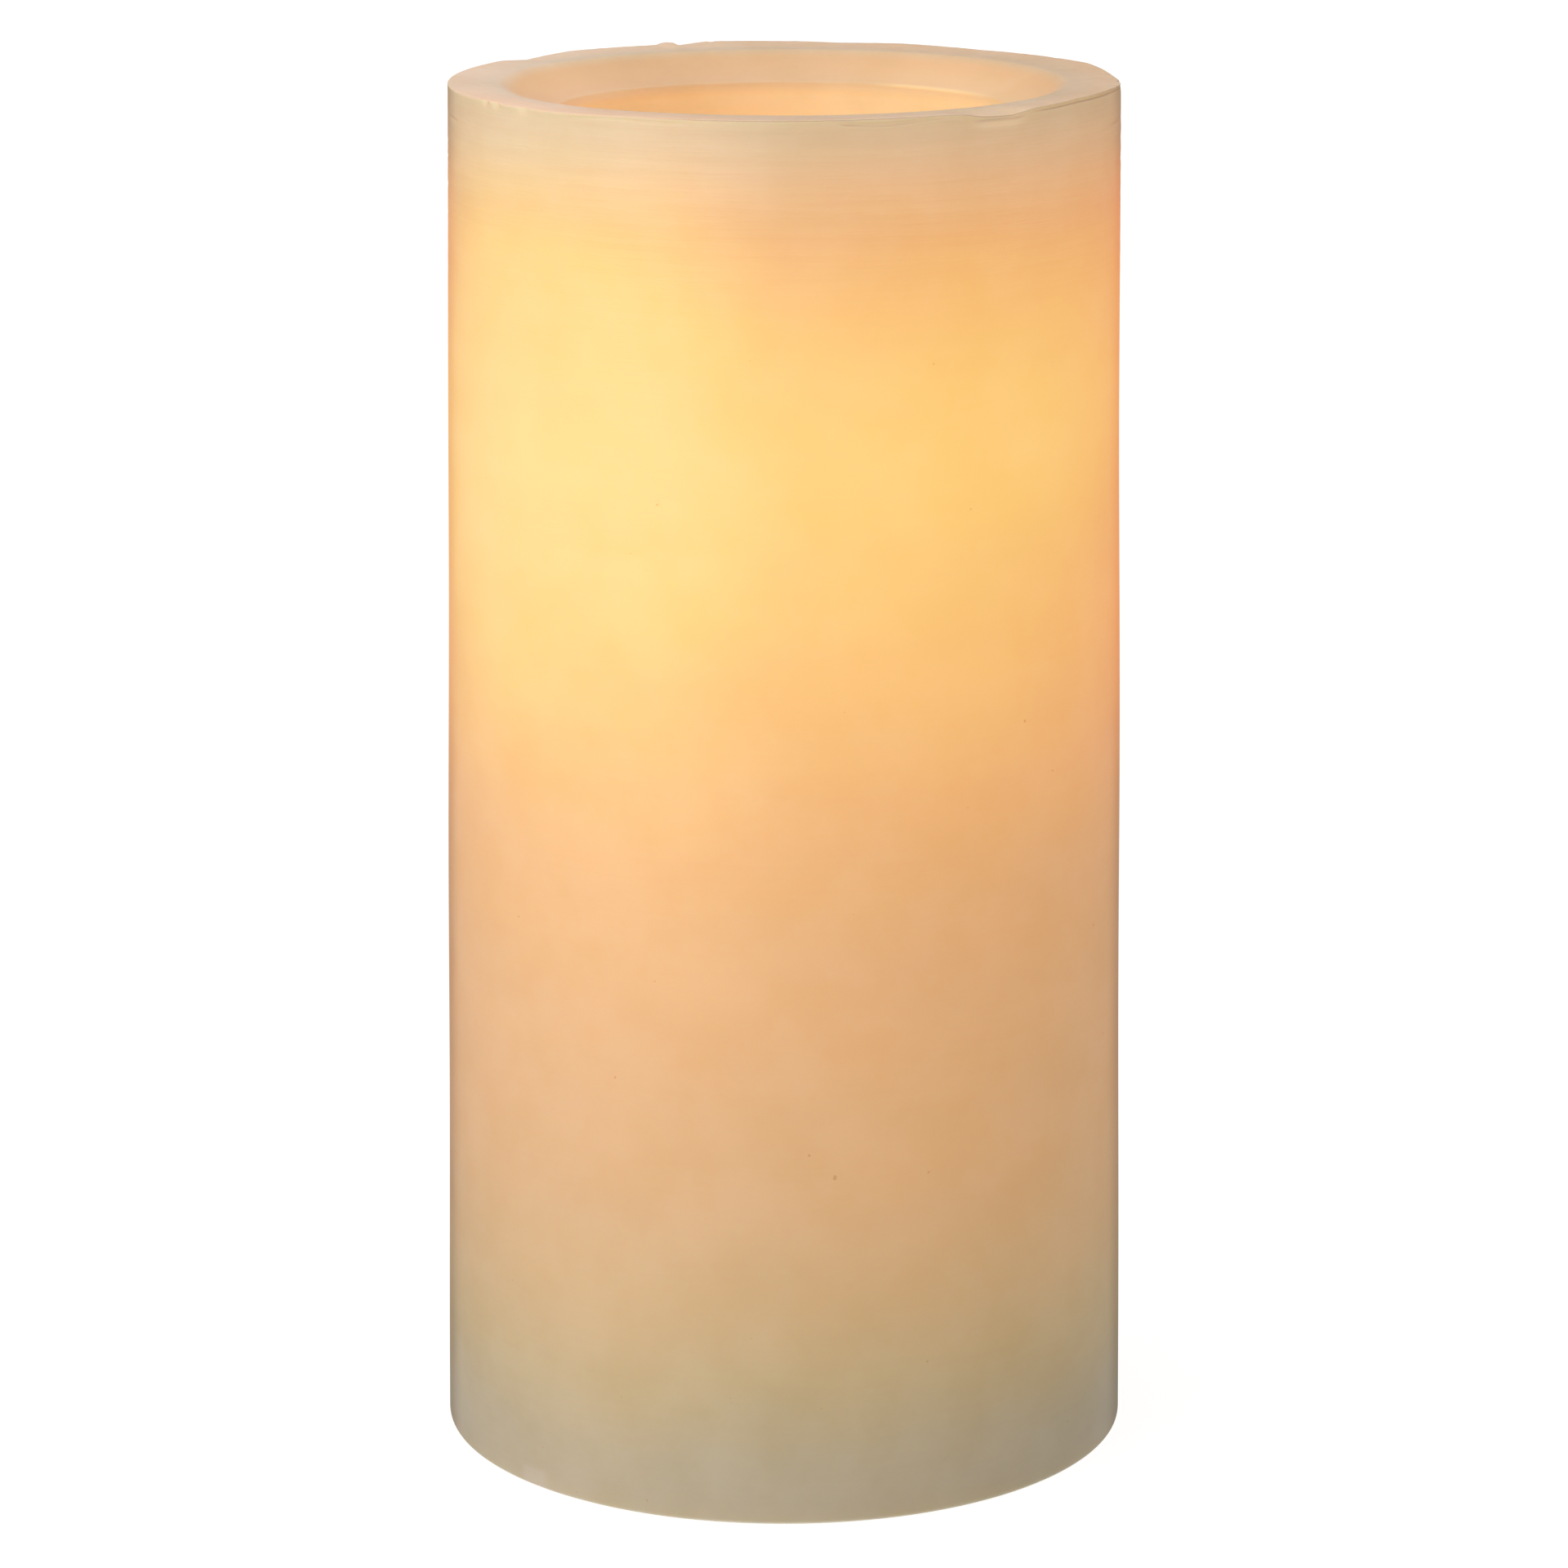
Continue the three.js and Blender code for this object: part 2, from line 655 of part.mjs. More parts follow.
const base = new THREE.Group();
candle.add(base);
piece("base_housing", baseHousing(), ivoryPlastic, base);
piece("base_cover", baseCover(), ivoryPlastic, base);
coverScrewSpots.forEach(([x, y], i) => {
  const screw = piece(`cover_screw_${i + 1}`, panScrew(1.9, 0.85, 8), nickelSteel, base);
  screw.position.set(x, y, coverTop + gap);
});
for (let i = 0; i < 3; i += 1) {
  const turn = Math.PI / 6 + (i * Math.PI * 2) / 3;
  const bead = piece(`glue_bead_${i + 1}`, glueBead(), hotMelt, base);
  bead.position.set(glueRingRadius * Math.cos(turn), glueRingRadius * Math.sin(turn), coverTop + gap);
}

const cells = new THREE.Group();
cells.position.z = cellZ;
base.add(cells);
const cellShift = (springLength + gap) / 2 - 0.1;
const plusCell = piece("battery_1", cell(), cellSleeve, cells);
plusCell.position.set(cellShift, cellY, 0);
const minusCell = piece("battery_2", cell(), cellSleeve, cells);
minusCell.position.set(-cellShift, -cellY, 0);
minusCell.rotation.z = Math.PI;
const nearSpring = piece("contact_spring_1", contactSpring(), nickelSteel, cells);
nearSpring.position.set(-contactFace + gap, cellY, 0);
const farSpring = piece("contact_spring_2", contactSpring(), nickelSteel, cells);
farSpring.position.set(contactFace - gap, -cellY, 0);
farSpring.rotation.z = Math.PI;
piece("negative_contact", tabContact(-contactFace - contactThickness, cellY), nickelSteel, base);
piece("positive_contact", tabContact(-contactFace - contactThickness, -cellY), nickelSteel, base);
piece("bridge_contact", bridgeContact(contactFace), nickelSteel, base);

piece("battery_door", batteryDoor(), ivoryPlastic);
piece("switch_knob", switchKnob(), blackPlastic);

const board = new THREE.Group();
base.add(board);
piece("circuit_board", circuitBoard(), boardGreen, board);
piece("switch_body", switchBody(), nickelSteel, board);
const boardParts = [
  ["timer_chip", chipDrop(), blackEpoxy, 1.6, 22],
  ["smoothing_capacitor", capacitor(), aluminiumCan, 7.2, 21],
  ["timer_crystal", crystal(), nickelSteel, 1.6, 26.6],
  ["led_resistor", resistor(), resistorBlue, 11, 20.6],
  ["driver_transistor", transistor(), blackPlastic, -5.6, 24.6],
];
for (const [name, geometry, look, x, y] of boardParts) {
  piece(name, geometry, look, board).position.set(x, y, boardTop + gap);
}
[-1, 1].forEach((side, i) => {
  const screw = piece(`board_screw_${i + 1}`, panScrew(1.7, 0.85, 4.6), nickelSteel, board);
  screw.position.set(side * boardScrewX, boardScrewY, boardTop + gap);
});

piece("led_post", ledPost(), ivoryPlastic);
[-1, 1].forEach((side, i) => {
  const screw = piece(`post_screw_${i + 1}`, panScrew(1.7, 0.85, 5.2), nickelSteel);
  screw.position.set(side * postScrewX, 0, coverTop + seam + postFlangeThickness + gap);
});
piece("led_bulb", ledBulb(), warmEpoxy);
piece("led_lead_plus", ledLead(1.27), tinnedCopper);
piece("led_lead_minus", ledLead(-1.27), tinnedCopper);
piece("diffuser_dome", diffuserDome(), frostedPlastic);

piece("led_wire_red", ledWire(-4, 0.9), redVinyl);
piece("led_wire_black", ledWire(-6.4, -0.9), blackVinyl);
piece("battery_wire_red", batteryWire(-cellY, -8.8, -15, 5), redVinyl);
piece("battery_wire_black", batteryWire(cellY, -11.2, -17.5, 13), blackVinyl);

export default candle;
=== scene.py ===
import math

import bmesh
import bpy
import numpy as np
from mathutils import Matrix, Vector


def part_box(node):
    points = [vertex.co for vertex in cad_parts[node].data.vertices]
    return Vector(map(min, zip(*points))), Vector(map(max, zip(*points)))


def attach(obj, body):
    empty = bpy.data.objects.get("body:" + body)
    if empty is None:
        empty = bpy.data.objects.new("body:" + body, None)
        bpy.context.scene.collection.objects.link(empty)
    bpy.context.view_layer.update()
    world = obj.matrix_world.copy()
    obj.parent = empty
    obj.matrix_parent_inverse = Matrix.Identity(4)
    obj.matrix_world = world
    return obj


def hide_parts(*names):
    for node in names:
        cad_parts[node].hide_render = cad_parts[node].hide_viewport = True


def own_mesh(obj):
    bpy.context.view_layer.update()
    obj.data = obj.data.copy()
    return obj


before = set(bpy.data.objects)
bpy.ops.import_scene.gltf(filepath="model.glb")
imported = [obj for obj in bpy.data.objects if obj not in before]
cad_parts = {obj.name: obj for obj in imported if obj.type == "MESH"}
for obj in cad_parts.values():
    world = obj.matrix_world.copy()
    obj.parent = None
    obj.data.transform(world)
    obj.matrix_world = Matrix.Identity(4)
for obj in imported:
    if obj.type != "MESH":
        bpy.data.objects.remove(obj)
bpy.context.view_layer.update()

MM = 0.001


# ---------------------------------------------------------------- sizes taken from the frame

WAX_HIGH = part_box("wax_shell")[1]
HEIGHT = WAX_HIGH.z
TOP_RADIUS = WAX_HIGH.x
FOOT_RADIUS = TOP_RADIUS - 0.3 * MM
RIM_INNER = TOP_RADIUS * 0.831
SHOULDER_RADIUS = TOP_RADIUS * 0.687
SHOULDER_DROP = 3.3 * MM
BORE_FLOOR_RADIUS = SHOULDER_RADIUS - 1.0 * MM
DOME_LOW, DOME_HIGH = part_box("diffuser_dome")
LED_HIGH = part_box("led_bulb")[1]
BOARD_LOW, BOARD_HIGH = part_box("circuit_board")
FLOOR_TOP = DOME_LOW.z + 8 * MM
FLOOR_FOOT = DOME_LOW.z + 3 * MM
BASE_LOW, BASE_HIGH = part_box("base_housing")
POCKET_RADIUS = BASE_HIGH.x + 0.3 * MM
SEAT_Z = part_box("glue_bead_1")[1].z + 0.05 * MM
CHAMBER_FOOT_RADIUS = 29.5 * MM
CHAMBER_TOP_RADIUS = 28.6 * MM


# ---------------------------------------------------------------- node materials

class Look:
    """One procedural material: a Principled shader and short calls that add and wire its nodes."""

    def __init__(self, name):
        self.material = bpy.data.materials.new(name)
        self.material.use_nodes = True
        self.tree = self.material.node_tree
        self.shader = self.tree.nodes["Principled BSDF"]
        where = self.add("ShaderNodeTexCoord")
        self.place = where.outputs["Object"]
        self.normal = where.outputs["Normal"]

    def add(self, kind, **settings):
        node = self.tree.nodes.new(kind)
        for key, value in settings.items():
            setattr(node, key, value)
        return node

    def wire(self, value, socket):
        if isinstance(value, bpy.types.NodeSocket):
            self.tree.links.new(value, socket)
        else:
            socket.default_value = (*value, 1.0) if socket.type == "RGBA" else value

    def set(self, **values):
        for key, value in values.items():
            self.wire(value, self.shader.inputs[key.replace("_", " ")])

    def math(self, operation, a, b=0.0, c=0.0, clamp=False):
        node = self.add("ShaderNodeMath", operation=operation, use_clamp=clamp)
        for value, socket in zip((a, b, c), node.inputs):
            self.wire(value, socket)
        return node.outputs[0]

    def times(self, *values):
        product = values[0]
        for value in values[1:]:
            product = self.math("MULTIPLY", product, value)
        return product

    def flip(self, value):
        """One minus the value."""
        return self.math("SUBTRACT", 1.0, value)

    def away(self, value, middle):
        """The distance between a value and a middle."""
        return self.math("ABSOLUTE", self.math("SUBTRACT", value, middle))

    def length(self, a, b):
        """The length of the flat vector (a, b)."""
        return self.math("SQRT", self.math("ADD", self.times(a, a), self.times(b, b)))

    def span(self, value, low, high, to_low=0.0, to_high=1.0, smooth=True):
        kind = "SMOOTHSTEP" if smooth else "LINEAR"
        node = self.add("ShaderNodeMapRange", interpolation_type=kind, clamp=True)
        for item, socket in zip((value, low, high, to_low, to_high), node.inputs):
            self.wire(item, socket)
        return node.outputs[0]

    def split(self, vector):
        node = self.add("ShaderNodeSeparateXYZ")
        self.wire(vector, node.inputs[0])
        return node.outputs

    def mix(self, factor, a, b, blend="MIX"):
        node = self.add("ShaderNodeMix", data_type="RGBA", blend_type=blend)
        self.wire(factor, node.inputs["Factor"])
        self.wire(a, node.inputs[6])
        self.wire(b, node.inputs[7])
        return node.outputs[2]

    def mottled(self, noise, first, second):
        """Two colours that run into each other by a noise."""
        return self.mix(self.span(noise, 0.3, 0.7), first, second)

    def ramp(self, value, stops, smooth="LINEAR"):
        node = self.add("ShaderNodeValToRGB")
        node.color_ramp.interpolation = smooth
        elements = node.color_ramp.elements
        while len(elements) < len(stops):
            elements.new(1.0)
        for element, (position, colour) in zip(elements, stops):
            element.position = position
            element.color = (*colour, 1.0)
        self.wire(value, node.inputs[0])
        return node.outputs[0]

    def noise(self, scale, detail=3.0, roughness=0.5, distortion=0.0, at=None):
        node = self.add("ShaderNodeTexNoise")
        self.wire(self.place if at is None else at, node.inputs["Vector"])
        for key, value in (("Scale", scale), ("Detail", detail), ("Roughness", roughness),
                           ("Distortion", distortion)):
            node.inputs[key].default_value = value
        return node.outputs["Fac"]

    def streaks(self, detail, roughness, *scale):
        """Noise with its own scale along each axis."""
        node = self.add("ShaderNodeVectorMath", operation="MULTIPLY")
        self.wire(self.place, node.inputs[0])
        node.inputs[1].default_value = scale
        return self.noise(1.0, detail, roughness, at=node.outputs[0])

    def xyz(self):
        return self.split(self.place)

    def bump(self, height, strength, distance, normal=None):
        node = self.add("ShaderNodeBump")
        node.inputs["Strength"].default_value = strength
        node.inputs["Distance"].default_value = distance
        self.wire(height, node.inputs["Height"])
        if normal is not None:
            self.wire(normal, node.inputs["Normal"])
        return node.outputs[0]


# The glow through the wax, from the dimmest to the brightest wax.
GLOW_COLOURS = (
    (0.00, (0.00, 0.000, 0.00)),
    (0.14, (0.10, 0.050, 0.00)),
    (0.27, (0.20, 0.090, 0.00)),
    (0.40, (0.30, 0.115, 0.00)),
    (0.60, (0.45, 0.155, 0.00)),
    (0.74, (0.57, 0.205, 0.00)),
    (0.86, (0.67, 0.285, 0.00)),
    (0.93, (0.72, 0.365, 0.01)),
    (1.00, (0.78, 0.450, 0.07)),
)
# How strong the glow is at each share of the candle's height: on the outside, and in the recess.
OUTER_GLOW = (
    (0.00, 0.12), (0.08, 0.22), (0.16, 0.38), (0.25, 0.51), (0.36, 0.59), (0.45, 0.66),
    (0.53, 0.80), (0.61, 0.88), (0.70, 0.93), (0.78, 0.93), (0.84, 0.88), (0.90, 0.79),
    (0.95, 0.64), (0.98, 0.47), (1.00, 0.32),
)
INNER_GLOW = (
    (0.00, 0.10), (0.15, 0.15), (0.30, 0.60), (0.62, 0.74), (0.74, 0.58), (0.88, 0.36), (0.95, 0.19),
    (0.975, 0.26), (0.985, 0.38), (0.995, 0.30), (1.00, 0.26),
)
HOT_SIDE = math.radians(228)
WORN = math.radians(-52)  # where the edge of the rim is rubbed away
SCUFF = math.radians(-136)  # a pale scuff at the foot
WAX_PALE = (0.84, 0.745, 0.56)
WAX_DEEP = (0.79, 0.69, 0.495)


def glow_level(look, x, y, z):
    """How strong the glow is at each point of the wax, 0 to 1."""
    radius = look.length(x, y)
    share = look.math("DIVIDE", z, HEIGHT)
    outer, inner = (look.ramp(share, [(at, (value,) * 3) for at, value in stops], "B_SPLINE")
                    for stops in (OUTER_GLOW, INNER_GLOW))
    along = look.math("ADD", look.times(x, math.cos(HOT_SIDE)),
                      look.times(y, math.sin(HOT_SIDE)))
    side = look.math("DIVIDE", along, radius)
    hot = look.span(side, 0.72, 1.0)
    higher = look.span(z, HEIGHT * 0.78, HEIGHT * 0.94, 0.05, 0.16)
    outer = look.math("MULTIPLY_ADD", hot, higher, outer)
    lower_away = look.span(z, HEIGHT * 0.60, HEIGHT * 0.86, -0.05, 0.03)
    outer = look.math("MULTIPLY_ADD", look.span(side, -0.6, 0.9, 1.0, 0.0), lower_away, outer)
    level = look.math("ADD", look.times(outer, look.span(radius, 31 * MM, 37 * MM)),
                      look.times(inner, look.span(radius, 37 * MM, 31 * MM)))
    cloud = look.noise(30.0, 3.0, 0.5, 0.4)
    bands = look.streaks(2.0, 0.5, 16, 16, 95)
    level = look.math("MULTIPLY_ADD", look.math("SUBTRACT", cloud, 0.5), 0.10, level)
    return look.math("MULTIPLY_ADD", look.math("SUBTRACT", bands, 0.5), 0.07, level, clamp=True)


# What the glow is multiplied by where more wax lies before it: anywhere, and halfway up on the right.
DEEPER = (0.70, 0.60, 0.2)
DEEPER_WARM = (0.82, 0.50, 0.1)
# Painted shade on the glow and on the wax colour in the last sliver of the wall before its outline: near
# the ends, and where it is lit.
OUTLINE_SHADE = (0.80, 0.77, 0.74)
OUTLINE_SHADE_LIT = (0.98, 0.87, 0.79)
BELOW_RIM = (0.91, 1.0, 1.0)
BORE_COOLER = (0.93, 0.98, 1.0)
FAR_DULLER = (0.84, 0.85, 0.82)
EDGE_DIMMER = (0.7, 0.7, 0.7)
# Light added to the glow.
SOAKED_RIGHT = (0.050, 0.078, 0.078)
SOAKED_LEFT = (0.0, 0.142, 0.145)
CUT_LEFT = (0.085, 0.092, 0.10)
BORE_LEFT = (0, 0.01, 0.03)
BORE_RIGHT = (0.04, 0.065, 0.05)
SHOULDER_RIGHT = (0.055, 0.035, 0.02)
SHOULDER_LEFT = (0.09, 0.07, 0.05)
LEDGE_LIGHT = (0.14, 0.10, 0.04)
# What the colour of the wax is multiplied by; the ones for the rim's outer edge and the shoulder are
# painted shade.
CUT_TINT = (0.84, 0.82, 0.88)
EDGE_SHADE = (0.72, 0.70, 0.74)
WARM_TINT = (1.0, 0.92, 0.84)
SHOULDER_SHADE = (0.89, 0.70, 0.61)
LOW_TINT = (0.98, 1.03, 1.0)
FOOT_TINT = (0.95, 0.99, 1.12)
LINE_TINT = (0.88, 0.86, 0.84)
GRAIN_TINT = (0.90, 0.88, 0.87)
# The colours of scuffs and specks.
SCUFF_PALE = (0.92, 0.89, 0.84)
SPECK_BROWN = (0.36, 0.24, 0.14)
SPECK_GLOW = (0.2, 0.1, 0.0)


def wax_look():
    """Translucent wax lit from inside: masks for its places, then its glow, then its colour with painted
    shade on the shoulder, the rim's outer edge and the outline.
    """
    look = Look("wax")
    x, y, z = look.xyz()
    up = look.split(look.normal)[2]
    times = look.times
    radius = look.length(x, y)

    def below(start, end):
        """0 to 1 between two depths below the top of the candle, in millimetres."""
        return look.span(z, HEIGHT - start * MM, HEIGHT - end * MM)

    sideways = look.math("DIVIDE", x, radius)
    left = look.span(sideways, -1.0, 0.2, 1.0, 0.0)
    right = look.span(sideways, 0.2, 0.9)
    wall = times(look.span(up, 0.5, 0.2), look.span(radius, 33 * MM, 35 * MM))
    turn = look.math("ARCTAN2", y, x)
    top = below(1.8, 1.0)
    worn = times(look.span(turn, WORN - 0.13, WORN - 0.05), look.span(turn, WORN + 0.15, WORN + 0.10),
                 look.span(radius, RIM_INNER + 0.8 * MM, RIM_INNER + 2.4 * MM))
    inward = look.span(radius, RIM_INNER + 1.2 * MM, RIM_INNER - 1.4 * MM)
    cut = times(look.span(up, 0.40, 0.70), top, look.math("MULTIPLY_ADD", worn, -0.3, 1.0),
                look.flip(inward))
    # painted shade: a dark line along the rounded outer edge of the rim, everywhere but on the left
    edge = times(look.span(up, 0.10, 0.3), look.span(up, 0.8, 0.6), look.span(radius, 35 * MM, 36 * MM),
                 below(1.0, 0.6), look.span(sideways, -0.6, -0.1))
    shoulder = times(inward, below(5, 3))

    glow = look.ramp(glow_level(look, x, y, z), GLOW_COLOURS)
    # seen edge on, the light has come through more wax and is redder, most so halfway up the right
    facing = look.add("ShaderNodeLayerWeight").outputs["Facing"]
    lit_up = times(look.span(z, 60 * MM, 90 * MM), look.span(z, 146 * MM, 138 * MM))
    warm = times(right, lit_up)
    deeper = look.mix(warm, DEEPER, DEEPER_WARM)
    grazing = times(facing, facing)
    glow = look.mix(grazing, glow, deeper, "MULTIPLY")
    # painted shade: right at the outline of the wall the glow and the wax colour are darker still
    outline_shade_mask = times(wall, look.span(facing, 0.74, 0.90))
    outline_shade = look.mix(lit_up, OUTLINE_SHADE, OUTLINE_SHADE_LIT)
    glow = look.mix(outline_shade_mask, glow, outline_shade, "MULTIPLY")
    # light from above has soaked into the top of the wax, most of it on the left
    soaked = times(below(15, 2), wall, look.flip(grazing))
    pale = look.mix(left, SOAKED_RIGHT, SOAKED_LEFT)
    # a band under the rim at the left is less pink
    below_rim = times(wall, left, below(18, 9), below(1, 5))
    bore = times(inward, below(30, 8), below(0, 4))
    rightward = look.mix(look.span(sideways, -0.6, 0.8), BORE_LEFT, BORE_RIGHT)
    # the far side of the shoulder is further from the lamp and duller
    far = times(look.span(look.math("DIVIDE", y, radius), 0.2, 0.8), look.span(sideways, 0.5, -0.1))
    dull = times(far, look.span(radius, 35 * MM, 31.5 * MM), below(4, 2.5))
    # a bright line where the light catches the ledge under the shoulder
    level = look.away(z, HEIGHT - SHOULDER_DROP)
    lit = times(inward, look.span(level, 0.30 * MM, 0.05 * MM),
                look.span(turn, 0.35, 0.75), look.span(turn, 1.2, 1.0))
    for mask, colour, blend in (
            (below_rim, BELOW_RIM, "MULTIPLY"),
            (soaked, pale, "ADD"),
            (times(cut, left), CUT_LEFT, "ADD"),
            (bore, BORE_COOLER, "MULTIPLY"),
            (bore, rightward, "ADD"),
            (times(shoulder, right), SHOULDER_RIGHT, "ADD"),
            (dull, FAR_DULLER, "MULTIPLY"),
            (times(shoulder, look.span(sideways, -0.5, -0.95)), SHOULDER_LEFT, "ADD"),
            (lit, LEDGE_LIGHT, "ADD")):
        glow = look.mix(mask, glow, colour, blend)

    streaks = look.streaks(4.0, 0.6, 55, 55, 1500)
    mottle = look.noise(110.0, 4.0, 0.6)
    specks = look.span(look.noise(1000.0, 1.0, 0.3), 0.815, 0.84)
    base = look.mottled(mottle, WAX_DEEP, WAX_PALE)
    # the cut face of the rim is a little darker and pinker than the cast side; painted shade makes the
    # shoulder darker and redder, and darkens the rounded outer edge of the rim and the outline of the
    # wall
    for mask, tint in ((cut, CUT_TINT), (edge, EDGE_SHADE), (times(grazing, warm), WARM_TINT),
                       (outline_shade_mask, outline_shade), (shoulder, SHOULDER_SHADE),
                       (look.span(z, 38 * MM, 12 * MM), LOW_TINT),
                       (look.span(z, 16 * MM, 3 * MM), FOOT_TINT)):
        base = look.mix(mask, base, tint, "MULTIPLY")
    scuff = times(look.span(turn, SCUFF - 0.07, SCUFF - 0.03),
                  look.span(turn, SCUFF + 0.07, SCUFF + 0.03),
                  look.span(z, 2.6 * MM, 1.4 * MM), look.span(streaks, 0.35, 0.6))
    base = look.mix(times(scuff, 0.5), base, SCUFF_PALE)
    # faint lines left by the knife round the top, and a fine grain on the cut face
    near_top = look.span(z, HEIGHT - 30 * MM, HEIGHT - 6 * MM, 0.35, 1.0)
    grain = look.noise(850.0, 3.0, 0.6)
    lines = times(look.span(streaks, 0.45, 0.7), near_top, wall)
    base = look.mix(times(lines, 0.22), base, LINE_TINT, "MULTIPLY")
    grained = times(cut, look.span(grain, 0.45, 0.7), 0.5)
    base = look.mix(grained, base, GRAIN_TINT, "MULTIPLY")
    base = look.mix(times(specks, 0.4), base, SPECK_BROWN)
    glow = look.mix(times(specks, 0.4), glow, SPECK_GLOW)
    # painted shade on the glow too, along the rim's outer edge
    glow = look.mix(edge, glow, EDGE_DIMMER, "MULTIPLY")
    look.set(Base_Color=base, Emission_Color=glow, Emission_Strength=1.0,
             Roughness=look.span(mottle, 0.2, 0.8, 0.44, 0.56), IOR=1.44,
             Subsurface_Weight=0.25, Subsurface_Radius=(1.0, 0.55, 0.25), Subsurface_Scale=4 * MM)
    first = look.bump(times(streaks, near_top), 0.5, 0.12 * MM)
    look.set(Normal=look.bump(grain, 0.12, 0.08 * MM, first))
    return look.material


# ---------------------------------------------------------------- finishes of the hardware

def moulded(name, pale, deep, grain=2400.0, gloss=(0.40, 0.56)):
    """Injection-moulded plastic: fine spark texture, faint flow clouds and a few light scuffs."""
    look = Look(name)
    cloud = look.span(look.noise(85.0, 3.0, 0.5, 0.6), 0.3, 0.7)
    spark = look.noise(grain, 2.0, 0.6)
    scuff = look.span(look.streaks(4.0, 0.7, 160, 1500, 700), 0.66, 0.74)
    base = look.mix(cloud, deep, pale)
    rubbed = [min(1, c * 1.25) for c in pale]
    base = look.mix(look.times(scuff, 0.18), base, rubbed)
    rough = look.math("MULTIPLY_ADD", scuff, 0.12, look.span(spark, 0.3, 0.7, *gloss))
    look.set(Base_Color=base, Roughness=rough, IOR=1.5)
    look.set(Normal=look.bump(spark, 0.35, 0.05 * MM, look.bump(cloud, 0.2, 0.08 * MM)))
    return look.material


def metal(name, pale, deep, brushed=(2500, 160, 160), gloss=(0.20, 0.42)):
    """Plated sheet or wire: brushed along X by default, with thin patches of tarnish."""
    look = Look(name)
    lines = look.streaks(3.0, 0.6, *brushed)
    tarnish = look.span(look.noise(420.0, 4.0, 0.6), 0.45, 0.75)
    base = look.mix(look.times(tarnish, 0.7), pale, deep)
    rough = look.math("MULTIPLY_ADD", tarnish, 0.15, look.span(lines, 0.3, 0.7, *gloss))
    look.set(Base_Color=base, Metallic=1.0, Roughness=rough)
    look.set(Normal=look.bump(lines, 0.25, 0.02 * MM))
    return look.material


def vinyl(name, colour, shade):
    """Soft wire insulation with faint spots."""
    look = Look(name)
    spots = look.span(look.noise(900.0, 2.0, 0.5), 0.35, 0.65)
    look.set(Base_Color=look.mix(spots, shade, colour),
             Roughness=look.span(spots, 0, 1, 0.32, 0.45), IOR=1.53)
    look.set(Normal=look.bump(look.noise(1700.0, 2.0, 0.5), 0.2, 0.03 * MM))
    return look.material


def board_look():
    """Green solder mask with paler tracks under it, on a laminate that shows at the cut edges."""
    look = Look("board_laminate")
    x, y, _ = look.xyz()
    up = look.split(look.add("ShaderNodeNewGeometry").outputs["Normal"])[2]
    runs = look.math("SINE", look.times(y, 4200.0))
    breaks = look.streaks(0.0, 0.5, 130, 700, 0)
    track = look.times(look.span(runs, 0.35, 0.5), look.span(breaks, 0.44, 0.47))
    weave = look.times(look.math("SINE", look.times(x, 9000.0)),
                      look.math("SINE", look.times(y, 9000.0)))
    mask = look.mix(track, (0.018, 0.105, 0.035), (0.05, 0.22, 0.075))
    edge = look.mix(look.span(weave, -1, 1), (0.42, 0.40, 0.20), (0.55, 0.52, 0.30))
    flat = look.span(look.math("ABSOLUTE", up), 0.6, 0.8)
    look.set(Base_Color=look.mix(flat, edge, mask), Roughness=look.span(flat, 0, 1, 0.7, 0.28))
    look.set(Normal=look.bump(look.math("MULTIPLY_ADD", weave, 0.15, track), 0.4, 0.03 * MM))
    return look.material


def chip_look():
    """The black epoxy drop over the chip, with faint flow marks."""
    look = Look("black_epoxy")
    flow = look.noise(500.0, 3.0, 0.5, 0.5)
    flow = look.span(flow, 0.3, 0.7)
    look.set(Base_Color=look.mix(flow, (0.010, 0.010, 0.011), (0.028, 0.027, 0.027)),
             Roughness=look.span(flow, 0, 1, 0.16, 0.34), IOR=1.55)
    look.set(Normal=look.bump(flow, 0.3, 0.08 * MM))
    return look.material


def capacitor_look():
    """A dark sleeve with a pale stripe on one side, and a bare aluminium top."""
    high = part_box("smoothing_capacitor")[1]
    look = Look("capacitor_can")
    x, _, z = look.xyz()
    bare = look.span(z, high.z - 0.35 * MM, high.z - 0.25 * MM)
    stripe = look.times(look.span(x, high.x - 0.45 * MM, high.x - 0.35 * MM), 0.8)
    sleeve = look.mix(stripe, (0.016, 0.018, 0.035), (0.50, 0.52, 0.55))
    rub = look.noise(700.0, 3.0, 0.5)
    look.set(Base_Color=look.mix(bare, sleeve, (0.70, 0.71, 0.73)), Metallic=bare,
             Roughness=look.span(rub, 0.3, 0.7, 0.26, 0.42))
    look.set(Normal=look.bump(rub, 0.2, 0.04 * MM))
    return look.material


def resistor_look():
    """A beige body with coloured rings round it, between tinned legs."""
    low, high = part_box("led_resistor")
    middle = (low.y + high.y) / 2
    look = Look("resistor_body")
    _, y, z = look.xyz()
    along = look.math("SUBTRACT", y, middle)
    colour = (0.62, 0.50, 0.33)
    for place, ring in ((-1.3, (0.30, 0.09, 0.02)), (-0.6, (0.02, 0.02, 0.02)),
                        (0.1, (0.30, 0.09, 0.02)), (1.2, (0.60, 0.42, 0.08))):
        away = look.away(along, place * MM)
        colour = look.mix(look.span(away, 0.14 * MM, 0.20 * MM, 1, 0), colour, ring)
    inside = look.times(look.span(look.math("ABSOLUTE", along), 1.68 * MM, 1.72 * MM, 1, 0),
                       look.span(z, low.z + 0.65 * MM, low.z + 0.7 * MM))
    glaze = look.noise(900.0, 2.0, 0.5)
    look.set(Base_Color=look.mix(inside, (0.72, 0.70, 0.67), colour),
             Metallic=look.flip(inside), Roughness=look.span(glaze, 0.3, 0.7, 0.26, 0.38))
    look.set(Normal=look.bump(glaze, 0.2, 0.03 * MM))
    return look.material


